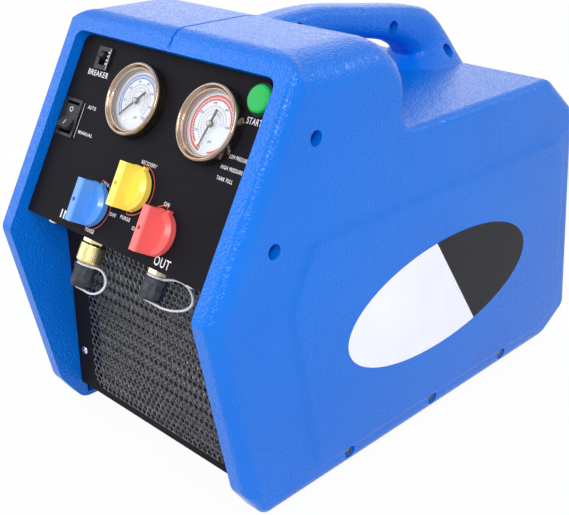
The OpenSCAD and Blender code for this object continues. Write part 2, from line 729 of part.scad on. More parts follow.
module inlet_filter() {
    u = knob_at[0][0];
    top = port_flange - hex_h;
    r = filter_d / 2;
    grips = 24;
    color([0.88, 0.78, 0.5]) difference() {
        port_turned(u, [[0, inlet_end - nipple_l], [port_d / 2 - 1, inlet_end - nipple_l],
            [port_d / 2, inlet_end - nipple_l + 1], [port_d / 2, inlet_end], [r - 2, inlet_end], [r, inlet_end + 2],
            [r, top - 1.5], [r - 1.5, top], [port_d / 2 - 1 + run_clear, top],
            [port_d / 2 - 1 + run_clear, top - 7 - gap], [0, top - 7 - gap]]);
        for (a = [0:grips - 1]) on_panel(u, inlet_end + 2.5, -port_depth) rotate([-90, 0, 0])
            rotate([0, 0, a * 360 / grips]) translate([r + 0.5, 0, 0])
                cylinder(r = 1.1, h = filter_l - 5, $fn = 16);
    }
}

module outlet_port() {
    u = knob_at[2][0];
    top = knob_v - valve_size / 2;
    color([0.85, 0.74, 0.45]) {
        port_turned(u, [[0, outlet_end - nipple_l], [port_d / 2 - 1, outlet_end - nipple_l],
            [port_d / 2, outlet_end - nipple_l + 1], [port_d / 2, top], [0, top]]);
        difference() {
            port_hex(u, outlet_end, port_flange, cap_d * 0.8);
            port_turned(u, [[0, 0], [port_d / 2, 0], [port_d / 2, port_flange + 1], [0, port_flange + 1]]);
        }
    }
}

// Moulded cap with flats for the fingers, closed at its lower end
module port_cap(u, end) {
    top = end - ring_t - 2 * gap;
    color([0.17, 0.18, 0.2]) difference() {
        on_panel(u, top - cap_l, -port_depth) rotate([-90, 0, 0]) {
            translate([0, 0, cap_l * 0.12]) cylinder(d = cap_d, h = cap_l * 0.88, $fn = 10);
            cylinder(d = cap_d * 0.86, h = cap_l * 0.12);
        }
        on_panel(u, top - cap_bore_l, -port_depth) rotate([-90, 0, 0])
            cylinder(d = port_d + 0.3, h = cap_bore_l + 1);
    }
}

// Tether: an eye round the neck and a round strap along the route to the cap's end
module tether(u, end, route) {
    eye = cap_d / 2 - 0.6;
    sides = 8;
    n = len(route);
    pts = [for (p = route) [u + p[0], end + p[1]]];
    rings = [for (i = [0:n - 1]) let(d = unit(pts[min(i + 1, n - 1)] - pts[max(i - 1, 0)]), w = left_of(d))
        [for (k = [0:sides - 1]) let(a = 360 * k / sides, q = pts[i] + w * cos(a) * tether_d * 0.4)
            [q[0], q[1], sin(a) * tether_d / 2]]];
    color([0.84, 0.84, 0.87]) {
        on_panel(u, end - ring_t - gap, -port_depth) rotate([-90, 0, 0]) difference() {
            cylinder(r = eye, h = ring_t);
            translate([0, 0, -1]) cylinder(d = port_d + 0.3, h = ring_t + 2);
        }
        on_panel(0, 0, -port_depth)
            loft(rings, [pts[0][0], pts[0][1], 0], [pts[n - 1][0], pts[n - 1][1], 0]);
    }
}

// Strap routes from the eye, sideways and up the slope; the strap ends under the cap
strap_end = -ring_t - 3 * gap - cap_l - tether_d * 0.4;
inlet_route = [[7.6, -1.4], [12, -0.6], [18, -0.4], [24, -2.4], [28, -6.6], [28.6, -11.4], [25.6, -16.4],
    [20, -19.8], [13, strap_end - 0.6], [6, strap_end], [0, strap_end], [-6, strap_end]];
outlet_route = [[7.6, -1.4], [13, 0.4], [20, 2.4], [28, 2.6], [36, 0.6], [42, -4], [43.5, -9], [40, -14],
    [33, -17.6], [24, -20.2], [14, strap_end - 0.5], [6, strap_end], [0, strap_end], [-6, strap_end]];

module start_bezel() {
    color([0.08, 0.08, 0.09]) on_panel(button_u, button_v, 0) {
        rotate_extrude() polygon([[button_d / 2 + gap, panel_face], [button_d / 2 + 2.4, panel_face],
            [button_d / 2 + 2.4, panel_face + 1.6], [button_d / 2 + 1.6, panel_face + 2.6],
            [button_d / 2 + gap, panel_face + 2.6]]);
        rotate_extrude() polygon([[0, panel_back - 18], [button_d / 2 + 1, panel_back - 18],
            [button_d / 2 + 1, panel_face], [button_d / 2 + gap, panel_face],
            [button_d / 2 + gap, panel_back - 14], [0, panel_back - 14]]);
    }
}

module start_button() {
    base = panel_back - 14 + button_travel + 2 * gap;
    top = panel_face + 6.2;
    color("limegreen") on_panel(button_u, button_v, 0) rotate_extrude() polygon([[0, base], [button_d / 2, base],
        [button_d / 2, top - 1.2], [button_d / 2 - 1.2, top], [button_d * 0.3, top + 0.5], [0, top + 0.7]]);
}

module switch_frame() {
    d = 16;
    color([0.08, 0.08, 0.09]) on_panel(switch_u, switch_v, 0) difference() {
        union() {
            translate([-switch_w / 2, -switch_l / 2, panel_face]) cube([switch_w, switch_l, 2]);
            translate([-switch_w / 2 + 1.2, -switch_l / 2 + 1.2, panel_back - d])
                cube([switch_w - 2.4, switch_l - 2.4, d + sheet_t]);
        }
        translate([-switch_w / 2 + 3, -switch_l / 2 + 3, panel_back - d + 2])
            cube([switch_w - 6, switch_l - 6, d + sheet_t + 3]);
    }
}

// Rocker with a V-shaped face, tipped so that one half lies flat
module switch_rocker() {
    w = switch_w - 6 - 2 * gap;
    half = switch_l / 2 - 3 - 1.2;
    crest = 3.2 + half * 0.85 * tan(rocker_tilt);
    color([0.1, 0.1, 0.11]) on_panel(switch_u, switch_v, panel_face - 1.5) rotate([-rocker_tilt, 0, 0])
        translate([-w / 2, 0, 0]) rotate([90, 0, 90]) linear_extrude(w) polygon([[-half, 2.6], [-half * 0.85, crest],
            [0, 3.2], [half * 0.85, crest], [half, 2.6], [half * 0.72, -3], [0, -4.5], [-half * 0.72, -3]]);
}

module breaker_body() {
    d = 22;
    slot_w = breaker_w - breaker_cheek;
    color([0.09, 0.09, 0.1]) on_panel(breaker_u, breaker_v, 0) difference() {
        union() {
            translate([-breaker_w / 2, -breaker_l / 2, panel_face]) cube([breaker_w, breaker_l, 2.4]);
            translate([-breaker_w / 2 + 1.2, -breaker_l / 2 + 1.2, panel_back - d])
                cube([breaker_w - 2.4, breaker_l - 2.4, d + sheet_t]);
        }
        translate([-slot_w / 2, -breaker_l / 2 + 4, panel_face - 9]) cube([slot_w, breaker_l - 8, 12]);
    }
}

module breaker_lever() {
    w = breaker_w - breaker_cheek - 2 * gap;
    color([0.16, 0.16, 0.17]) on_panel(breaker_u, breaker_v, panel_face - 3.5) rotate([-16, 0, 0]) {
        translate([-w / 2, 0, 0]) rotate([0, 90, 0]) cylinder(r = 3.2, h = w);
        translate([-w / 2, 0, 0]) rotate([90, 0, 90]) linear_extrude(w)
            polygon([[-2.6, 0], [2.6, 0], [2.2, 9.5], [-2.2, 9.5]]);
    }
}

module coil_tube_places() {
    for (i = [0:tube_rows - 1]) translate([0, coil_y + coil_depth / 2, floor_z + 10 + i * tube_pitch])
        rotate([0, 90, 0]) children();
}

module condenser_fins() {
    fin_pitch = 6.5;
    count = floor(coil_w / fin_pitch / 2);
    color([0.75, 0.76, 0.78]) for (i = [-count:count])
        translate([i * fin_pitch - 0.4, coil_y, floor_z]) rotate([90, 0, 90])
            linear_extrude(abs(i) == count ? 1.6 : 0.8) difference() {
                translate([0, abs(i) == count ? 0 : 1]) square([coil_depth, coil_top - floor_z]);
                for (k = [0:tube_rows - 1]) translate([coil_depth / 2, 10 + k * tube_pitch])
                    circle(d = coil_tube_d + 0.3);
            }
}

module condenser_tubes() {
    half = coil_w / 2 + 4;
    color([0.72, 0.45, 0.28]) {
        coil_tube_places() translate([0, 0, -half]) cylinder(d = coil_tube_d, h = 2 * half);
        for (s = [-1, 1]) translate([s * half, coil_y + coil_depth / 2, floor_z + 2])
            cylinder(d = coil_tube_d * 1.5, h = coil_top - floor_z - 2);
    }
}

module fan_shroud() {
    top = coil_top;
    color([0.14, 0.14, 0.15]) difference() {
        union() {
            translate([-coil_w / 2, shroud_y, floor_z]) cube([coil_w, 2, top - floor_z]);
            translate([0, shroud_y, fan_z]) rotate([-90, 0, 0]) cylinder(d = fan_d + 10, h = 26);
        }
        translate([0, shroud_y - 1, fan_z]) rotate([-90, 0, 0]) cylinder(d = fan_d + 6, h = 30);
    }
}

// Axial fan: five tilted blades on a hub with its shaft
module fan() {
    blades = 5;
    hub = 17;
    color([0.2, 0.2, 0.22]) translate([0, fan_y, fan_z]) rotate([-90, 0, 0]) {
        cylinder(r = hub, h = 14);
        intersection() {
            difference() {
                cylinder(d = fan_d, h = 14);
                translate([0, 0, -1]) cylinder(r = hub - 1, h = 16);
            }
            for (i = [0:blades - 1]) rotate([0, 0, i * 360 / blades]) translate([0, 0, 7]) rotate([28, 0, 0])
                translate([hub - 3, -17, -0.9]) cube([fan_d / 2, 34, 1.8]);
        }
        cylinder(r = 4, h = fan_motor_y - fan_y + 12);
    }
}

module fan_motor() {
    r = 26;
    color([0.35, 0.36, 0.38]) difference() {
        union() {
            translate([0, fan_motor_y, fan_z]) rotate([-90, 0, 0]) {
                cylinder(r = r, h = fan_motor_l);
                translate([0, 0, -4]) cylinder(r = 10, h = 5);
            }
            translate([-18, fan_motor_y + 10, floor_z]) cube([36, 20, fan_z - floor_z]);
        }
        translate([0, fan_motor_y - 5, fan_z]) rotate([-90, 0, 0]) cylinder(r = 4 + run_clear, h = 30);
    }
}

// Oil-free piston compressor: crankcase with two finned cylinders and a base
module compressor() {
    r = motor_d * 0.36;
    color([0.6, 0.61, 0.63]) {
        translate([0, compressor_y, drive_z]) rotate([-90, 0, 0]) cylinder(r = r, h = compressor_l);
        for (s = [-1, 1]) translate([0, compressor_y + compressor_l / 2 + s * 22, drive_z]) {
            cylinder(r = 17, h = r + 26);
            for (i = [0:4]) translate([-20, -19, r + i * 5]) cube([40, 38, 2]);
            translate([-20, -19, r + 25]) cube([40, 38, 10]);
        }
        translate([-r * 0.8, compressor_y + 8, floor_z]) cube([r * 1.6, compressor_l - 16, drive_z - floor_z]);
    }
}

// Motor with a ribbed frame between two end bells, on two feet
module drive_motor() {
    r = motor_d / 2;
    bell = 14;
    ribs = 20;
    color([0.42, 0.43, 0.45]) {
        translate([0, drive_y, drive_z]) rotate([-90, 0, 0]) {
            cylinder(r = r - 3, h = bell);
            translate([0, 0, bell]) linear_extrude(motor_l - 2 * bell) {
                circle(r = r - 4);
                for (i = [0:ribs - 1]) rotate(9 + i * 360 / ribs) translate([r - 8, -1.2]) square([8, 2.4]);
            }
            translate([0, 0, motor_l - bell]) cylinder(r = r - 3, h = bell);
        }
        for (y = [2, motor_l - bell + 2]) translate([-r * 0.7, drive_y + y, floor_z])
            cube([r * 1.4, bell - 4, drive_z - r * 0.6 - floor_z]);
    }
}

module capacitor() {
    color([0.85, 0.85, 0.83]) translate([side_x - wall - capacitor_d / 2 - 13, drive_y + 30, floor_z]) {
        cylinder(d = capacitor_d, h = capacitor_l);
        translate([0, 0, capacitor_l]) cylinder(d = terminal_d, h = terminal_l);
    }
}

module pressure_switch() {
    color([0.55, 0.5, 0.4]) on_panel(knob_at[1][0], knob_at[1][1] + valve_size / 2, -port_depth)
        rotate([-90, 0, 0]) {
            cylinder(d = 8, h = 10);
            translate([0, 0, 10]) cylinder(d = 17, h = 12);
        }
}

// Round line through the given points, with a ball at each bend
module line(pts) {
    for (i = [0:len(pts) - 2]) let(d = pts[i + 1] - pts[i], l = norm(d))
        translate(pts[i]) rotate([0, acos(d[2] / l), atan2(d[1], d[0])]) {
            cylinder(d = line_d, h = l);
            if (i > 0) sphere(d = line_d * 1.15);
        }
}

// Point behind the panel, in the machine's frame
function behind(u, v, h) = [u, nose[0] + up[0] * v + out[0] * h, nose[1] + up[1] * v + out[1] * h];

module copper_lines() {
    deep = -port_depth - valve_size / 2;
    head_z = drive_z + motor_d * 0.36 + 35;
    head_y = compressor_y + compressor_l / 2;
    inlet = behind(knob_at[0][0], knob_v, deep);
    outlet = behind(knob_at[2][0], knob_v, deep);
    coil_in = [coil_w / 2 + 4, coil_y + coil_depth / 2, floor_z + 10 + (tube_rows - 1) * tube_pitch];
    color([0.72, 0.45, 0.28]) {
        line([inlet, behind(knob_at[0][0], knob_v, deep - 26), [-60, head_y - 22, head_z + 40],
            [-10, head_y - 22, head_z + 30], [-10, head_y - 22, head_z]]);
        line([outlet, behind(knob_at[2][0], knob_v, deep - 26), [60, head_y + 22, head_z + 40],
            [10, head_y + 22, head_z + 30], [10, head_y + 22, head_z]]);
    }
}

module power_inlet() {
    w = inlet_size[0] - 2 * gap;
    h = inlet_size[1] - 2 * gap;
    color([0.07, 0.07, 0.08]) on_rear(inlet_at[0], inlet_at[1], 0) difference() {
        union() {
            translate([-w / 2, -h / 2, -16]) cube([w, h, 16]);
            translate([-w / 2 - 4, -h / 2 - 4, 0]) cube([w + 8, h + 8, 2.5]);
        }
        translate([-w / 2 + 3, -h / 2 + 3, -12]) cube([w - 6, h - 6, 20]);
    }
    color("silver") for (x = [-7, 0, 7]) on_rear(inlet_at[0] + x, inlet_at[1] + (x == 0 ? 2 : -2), -13)
        translate([-1, -2, 0]) cube([2, 4, 11]);
}

housing_left();
housing_right();
housing_screws();
base_plate();
feet();
control_panel();
panel_screws();
grille();
grille_screws();
gauge_case(gauge_low_u);  // gauge_case_low
gauge_dial(gauge_low_u);  // gauge_dial_low
gauge_lens(gauge_low_u);  // gauge_lens_low
gauge_needle(gauge_low_u, low_zero);  // gauge_needle_low
gauge_case(gauge_high_u);  // gauge_case_high
gauge_dial(gauge_high_u);  // gauge_dial_high
gauge_lens(gauge_high_u);  // gauge_lens_high
gauge_needle(gauge_high_u, high_zero);  // gauge_needle_high
valve_knob(knob_at[0], "dodgerblue");  // inlet_knob
valve_knob(knob_at[1], "gold");  // mode_knob
valve_knob(knob_at[2], "tomato");  // outlet_knob
valve_stem(knob_at[0]);  // inlet_stem
valve_stem(knob_at[1]);  // mode_stem
valve_stem(knob_at[2]);  // outlet_stem
valve_body(knob_at[0]);  // inlet_valve
valve_body(knob_at[1]);  // mode_valve
valve_body(knob_at[2]);  // outlet_valve
inlet_port();
inlet_filter();
outlet_port();
port_cap(knob_at[0][0], inlet_end);  // inlet_cap
port_cap(knob_at[2][0], outlet_end);  // outlet_cap
tether(knob_at[0][0], inlet_end, inlet_route);  // inlet_tether
tether(knob_at[2][0], outlet_end, outlet_route);  // outlet_tether
start_bezel();
start_button();
switch_frame();
switch_rocker();
breaker_body();
breaker_lever();
condenser_fins();
condenser_tubes();
fan_shroud();
fan_motor();
fan();
compressor();
drive_motor();
capacitor();
pressure_switch();
copper_lines();
power_inlet();
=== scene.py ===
"""Dresses the portable refrigerant recovery machine for its studio picture.

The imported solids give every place. The script copies or keeps them, adds what is
printed, knurled, perforated or stuck on, and gives each surface its finish.
Metres, +Z up, the front faces -Y. Panel places are in millimetres on the slope.
"""

from __future__ import annotations

import json
import logging
import math
from collections.abc import Callable, Iterator, Sequence
from contextlib import contextmanager
from dataclasses import dataclass, field
from enum import Enum

import bmesh
import bpy
from mathutils import Matrix, Vector

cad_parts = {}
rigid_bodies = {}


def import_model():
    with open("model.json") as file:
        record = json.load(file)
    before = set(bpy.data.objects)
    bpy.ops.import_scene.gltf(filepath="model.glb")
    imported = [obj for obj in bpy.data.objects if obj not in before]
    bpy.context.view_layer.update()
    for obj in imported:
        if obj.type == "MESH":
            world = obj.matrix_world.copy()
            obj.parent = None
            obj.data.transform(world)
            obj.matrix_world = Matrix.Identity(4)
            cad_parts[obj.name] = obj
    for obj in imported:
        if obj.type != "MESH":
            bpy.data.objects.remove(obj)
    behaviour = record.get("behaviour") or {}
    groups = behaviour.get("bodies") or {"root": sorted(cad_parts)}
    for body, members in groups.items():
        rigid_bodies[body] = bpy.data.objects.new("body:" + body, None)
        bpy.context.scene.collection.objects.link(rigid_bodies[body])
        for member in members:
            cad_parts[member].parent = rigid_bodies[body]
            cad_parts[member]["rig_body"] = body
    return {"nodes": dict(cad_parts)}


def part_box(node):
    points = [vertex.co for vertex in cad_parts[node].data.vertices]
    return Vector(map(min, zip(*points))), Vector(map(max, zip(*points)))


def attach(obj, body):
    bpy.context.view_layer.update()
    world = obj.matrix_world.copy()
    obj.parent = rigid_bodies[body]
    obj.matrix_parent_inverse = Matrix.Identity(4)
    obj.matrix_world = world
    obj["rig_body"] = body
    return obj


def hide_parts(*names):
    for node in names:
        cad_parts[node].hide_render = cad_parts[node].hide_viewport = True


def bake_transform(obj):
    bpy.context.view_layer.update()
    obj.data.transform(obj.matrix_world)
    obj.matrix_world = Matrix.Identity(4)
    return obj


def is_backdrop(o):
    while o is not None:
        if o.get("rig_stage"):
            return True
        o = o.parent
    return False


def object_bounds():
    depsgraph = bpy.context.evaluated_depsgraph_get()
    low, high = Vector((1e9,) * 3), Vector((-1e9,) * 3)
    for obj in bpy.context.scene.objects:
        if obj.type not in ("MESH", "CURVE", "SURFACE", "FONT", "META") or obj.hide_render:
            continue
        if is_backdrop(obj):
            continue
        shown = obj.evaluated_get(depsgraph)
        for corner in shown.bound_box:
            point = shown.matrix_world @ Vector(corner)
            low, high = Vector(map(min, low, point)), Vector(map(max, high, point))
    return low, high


LOG = logging.getLogger("recovery_machine")
MM = 0.001
MACHINE = "machine"
CAPITAL_SHARE = 0.7  # height of a capital as a share of the font's size
ARC_STEP = 3  # degrees to a facet of a printed arc
SAME_POINT = 1e-4  # millimetres between points that are merged
WAVE = math.pi / 10  # length of a wave of the wave texture at scale 1
Piece = bpy.types.Object
Node = bpy.types.Node
Socket = bpy.types.NodeSocket
Screen = tuple[int, int, int]
Triple = tuple[float, float, float]
Profile = Sequence[tuple[float, float]]


def linear(colour: Screen) -> Triple:
    """Turns a screen colour of 0 to 255 into scene-linear values, by the sRGB curve."""
    shares = [value / 255 for value in colour]
    return tuple(s / 12.92 if s <= 0.04045 else ((s + 0.055) / 1.055) ** 2.4 for s in shares)


def turn_about(axis: str, degrees: float) -> Matrix:
    """Gives a turn about an axis."""
    return Matrix.Rotation(math.radians(degrees), 4, axis)


def shift(x: float, y: float, z: float = 0.0) -> Matrix:
    """Gives a move along the axes."""
    return Matrix.Translation((x, y, z))


@dataclass(frozen=True)
class PanelFrame:
    """The slope of the control panel, measured from the nose crease."""

    nose_y: float = -249.883
    nose_z: float = 194.0
    slope: float = 61.6
    face: float = -5.0

    def matrix(self, u: float, v: float, h: float, turn: float = 0.0) -> Matrix:
        """Places a piece that was modelled flat, with Z out of the panel.

        Args:
            u: Distance to the right of the middle.
            v: Distance up the slope from the crease.
            h: Height out of the crease plane.
            turn: Turn about the panel's normal, in degrees.

        Returns:
            The matrix from the piece's own millimetres to metres in the row frame.
        """
        nose = Matrix.Scale(MM, 4) @ shift(0, self.nose_y, self.nose_z)
        return nose @ turn_about("X", self.slope) @ shift(u, v, h) @ turn_about("Z", turn)

    def point(self, u: float, v: float, h: float) -> Vector:
        """Gives a place on the slope in metres, from the same three distances."""
        return self.matrix(u, v, h).to_translation()


PANEL = PanelFrame()


def activate(piece: Piece) -> None:
    """Makes a piece the only one selected, and active."""
    bpy.ops.object.select_all(action="DESELECT")
    piece.select_set(True)
    bpy.context.view_layer.objects.active = piece


@contextmanager
def editing(piece: Piece, mode: str = "VERT") -> Iterator[bmesh.types.BMesh]:
    """Opens a piece in edit mode.

    Args:
        piece: The piece.
        mode: What is selected, VERT, EDGE or FACE.

    Returns:
        The edit mesh, with everything selected.
    """
    activate(piece)
    bpy.ops.object.mode_set(mode="EDIT")
    bpy.ops.mesh.select_mode(type=mode)
    bpy.ops.mesh.select_all(action="SELECT")
    yield bmesh.from_edit_mesh(piece.data)
    bpy.ops.object.mode_set(mode="OBJECT")


def started(name: str) -> Piece:
    """Takes the primitive that was just added and names it."""
    piece = bpy.context.object
    piece.name = piece.data.name = name
    return piece


def moved(piece: Piece, *turns: Matrix) -> Piece:
    """Moves a piece's mesh by one matrix after the other."""
    for turn in turns:
        piece.data.transform(turn)
    return piece


def block(name: str, size: Sequence[float]) -> Piece:
    """Adds a box of a size about the origin."""
    bpy.ops.mesh.primitive_cube_add(size=1)
    return moved(started(name), Matrix.Diagonal((*size, 1)))


def plate(name: str, width: float, length: float) -> Piece:
    """Adds a flat rectangle about the origin."""
    bpy.ops.mesh.primitive_plane_add(size=1)
    return moved(started(name), Matrix.Diagonal((width, length, 1, 1)))


def disc(name: str, sides: int, radius: float) -> Piece:
    """Adds a flat polygon about the origin."""
    bpy.ops.mesh.primitive_circle_add(vertices=sides, radius=radius, fill_type="NGON")
    return started(name)


def faced_out() -> None:
    """Turns the faces of the piece in edit mode outwards."""
    bpy.ops.mesh.select_all(action="SELECT")
    bpy.ops.mesh.normals_make_consistent(inside=False)


def turned(name: str, profile: Profile, sides: int) -> Piece:
    """Turns a profile about Z by drawing a disc out ring by ring.

    Args:
        name: The piece's name.
        profile: Radius and height of each ring.
        sides: How many sides the disc has.

    Returns:
        The turned piece.
    """
    piece = disc(name, sides, profile[0][0])
    with editing(piece, "FACE"):
        for (r0, z0), (r1, z1) in zip(profile, profile[1:]):
            lift = {"value": (0, 0, z1 - z0)}
            bpy.ops.mesh.extrude_region_move(TRANSFORM_OT_translate=lift)
            k = r1 / r0
            bpy.ops.transform.resize(value=(k, k, 1), center_override=(0, 0, 0))
        bpy.ops.mesh.select_all(action="SELECT")
        bpy.ops.mesh.remove_doubles(threshold=SAME_POINT)
        faced_out()
    return moved(piece, shift(0, 0, profile[0][1]))


def band(name: str, inner: float, outer: float, start: float, sweep: float) -> Piece:
    """Makes a flat printed arc, clockwise from its start.

    Args:
        name: The piece's name.
        inner: Inner radius.
        outer: Outer radius.
        start: Angle of the first end, in degrees from +X.
        sweep: How far it runs clockwise, in degrees.

    Returns:
        The arc, in X and Y.
    """
    piece = plate(name, 1, 1)
    for vert in piece.data.vertices:
        vert.co = (inner if vert.co.x < 0 else outer, max(vert.co.y, 0), 0)
    trim(piece, lambda at: at.y > 0)
    with editing(piece):
        steps, angle = round(sweep / ARC_STEP), math.radians(sweep)
        bpy.ops.mesh.spin(steps=steps, angle=angle, center=(0, 0, 0), axis=(0, 0, 1))
        faced_out()
    with editing(piece) as mesh:
        mesh.faces.ensure_lookup_table()
        if mesh.faces[0].normal.z < 0:
            bpy.ops.mesh.flip_normals()
    return moved(piece, turn_about("Z", start))


def words(
    name: str,
    text: str,
    height: float,
    width: float | None = None,
    weight: float = 0.03,
    gap: float = 1.0,
) -> Piece:
    """Makes flat letters, centred on the origin.

    Args:
        name: The piece's name.
        text: The letters.
        height: Height of a capital.
        width: Width over all the letters; None for the font's own.
        weight: How far the strokes swell, as a share of the height.
        gap: Distance from letter to letter, 1 for the font's own.

    Returns:
        The letters as a mesh.
    """
    bpy.ops.object.text_add()
    letters = bpy.context.object.data
    letters.body = text
    letters.align_x, letters.align_y = "CENTER", "CENTER"
    letters.size = height / CAPITAL_SHARE
    letters.offset = height * weight
    letters.space_character = gap
    letters.resolution_u = 3
    bpy.ops.object.convert(target="MESH")
    piece = started(name)
    if width is not None:
        moved(piece, Matrix.Diagonal((width / piece.dimensions.x, 1, 1, 1)))
    return piece


def trim(piece: Piece, away: Callable[[Vector], bool]) -> None:
    """Deletes the points whose place passes a test."""
    with editing(piece) as mesh:
        gone = [v for v in mesh.verts if away(v.co)]
        bmesh.ops.delete(mesh, geom=gone, context="VERTS")
        bmesh.update_edit_mesh(piece.data)


def copies(name: str, model: Piece, places: Sequence[Matrix]) -> Piece:
    """Sets copies of a model in place and joins them into one piece.

    Args:
        name: The joined piece's name.
        model: The piece that was modelled once; it is used up.
        places: One matrix for each copy.

    Returns:
        The joined piece.
    """
    made = []
    for place in places:
        mesh = model.data.copy()
        mesh.transform(place)
        made.append(bpy.data.objects.new(name, mesh))
        bpy.context.scene.collection.objects.link(made[-1])
    bpy.data.objects.remove(model)
    return joined(name, made)


def joined(name: str, pieces: Sequence[Piece]) -> Piece:
    """Joins pieces into one."""
    activate(pieces[0])
    for piece in pieces:
        piece.select_set(True)
    bpy.ops.object.join()
    return started(name)


def modified(piece: Piece, kind: str, **settings: object) -> None:
    """Adds a modifier with its settings and applies it."""
    activate(piece)
    modifier = piece.modifiers.new(kind.lower(), kind)
    for key, value in settings.items():
        setattr(modifier, key, value)
    bpy.ops.object.modifier_apply(modifier=modifier.name)


def cut(piece: Piece, tool: Piece) -> None:
    """Cuts a tool's shape out of a piece and removes the tool."""
    modified(piece, "BOOLEAN", operation="DIFFERENCE", object=tool, solver="EXACT")
    bpy.data.objects.remove(tool)


def rounded(piece: Piece, width: float, segments: int, angle: float) -> None:
    """Rounds the edges that are sharper than an angle, in degrees."""
    limit = {"limit_method": "ANGLE", "angle_limit": math.radians(angle)}
    modified(piece, "BEVEL", width=width, segments=segments, **limit)


def smooth(piece: Piece, angle: float = 40.0) -> None:
    """Smooths the shading over edges flatter than an angle, in degrees."""
    activate(piece)
    bpy.ops.object.shade_smooth_by_angle(angle=math.radians(angle))
    modified(piece, "WEIGHTED_NORMAL", keep_sharp=True)


class Workshop:
    """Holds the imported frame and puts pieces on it."""

    weld: float = 2e-6
    flat_angle: float = 0.6
    sharp_angle: float = 28.0

    def __init__(self) -> None:
        """Loads the frame and notes the size of the bare solids."""
        self.nodes: dict[str, Piece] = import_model()["nodes"]
        self.cad_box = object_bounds()

    def body_of(self, node: str) -> str:
        """Names the body that a solid rides on."""
        return self.nodes[node]["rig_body"]

    def copy_of(self, node: str, name: str) -> Piece:
        """Copies a solid's mesh and welds its loose triangles.

        Args:
            node: The solid.
            name: The copy's name.

        Returns:
            The welded copy, in metres and in place.
        """
        piece = bpy.data.objects.new(name, self.nodes[node].data.copy())
        piece.data.name = name
        piece.data.materials.clear()
        bpy.context.scene.collection.objects.link(piece)
        with editing(piece):
            bpy.ops.mesh.remove_doubles(threshold=self.weld)
        bpy.ops.mesh.customdata_custom_splitnormals_clear()
        return piece

    @staticmethod
    def paint(piece: Piece, finish: Finish) -> None:
        """Gives a piece its surface."""
        piece.data.materials.clear()
        piece.data.materials.append(finish.material())

    def dress(
        self, node: str, name: str, finish: Finish, slot: str, width: float, segments: int = 2
    ) -> None:
        """Stands a copy with rounded edges in for a solid, on the solid's own body.

        Args:
            node: The solid.
            name: The copy's name.
            finish: Its surface.
            slot: The record's material slot; not used.
            width: Width of the rounding, in millimetres.
            segments: Faces across the rounding.
        """
        piece = self.copy_of(node, name)
        with editing(piece):
            bpy.ops.mesh.dissolve_limited(angle_limit=math.radians(self.flat_angle))
        rounded(piece, width * MM, segments, self.sharp_angle)
        smooth(piece)
        self.seat(piece, finish, self.body_of(node), slot, node)

    def seat(self, piece: Piece, finish: Finish, body: str, slot: str, *nodes: str) -> None:
        """Finishes a piece and lets it ride.

        Args:
            piece: The piece, already in place.
            finish: Its surface.
            body: The body that carries it.
            slot: The record's material slot; not used.
            nodes: Solids that it stands for.
        """
        self.paint(piece, finish)
        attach(piece, body)
        self.declare(piece, slot, *nodes)

    def declare(self, piece: Piece, slot: str, *nodes: str) -> None:
        """Hides the solids that a piece stands for, and reports the piece."""
        if nodes:
            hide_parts(*nodes)
        LOG.info("%s: %d faces", piece.name, len(piece.data.polygons))

    def finish_node(self, node: str, finish: Finish) -> None:
        """Gives a solid that stays its surface."""
        self.paint(self.nodes[node], finish)
        LOG.info("%s: solid kept", node)


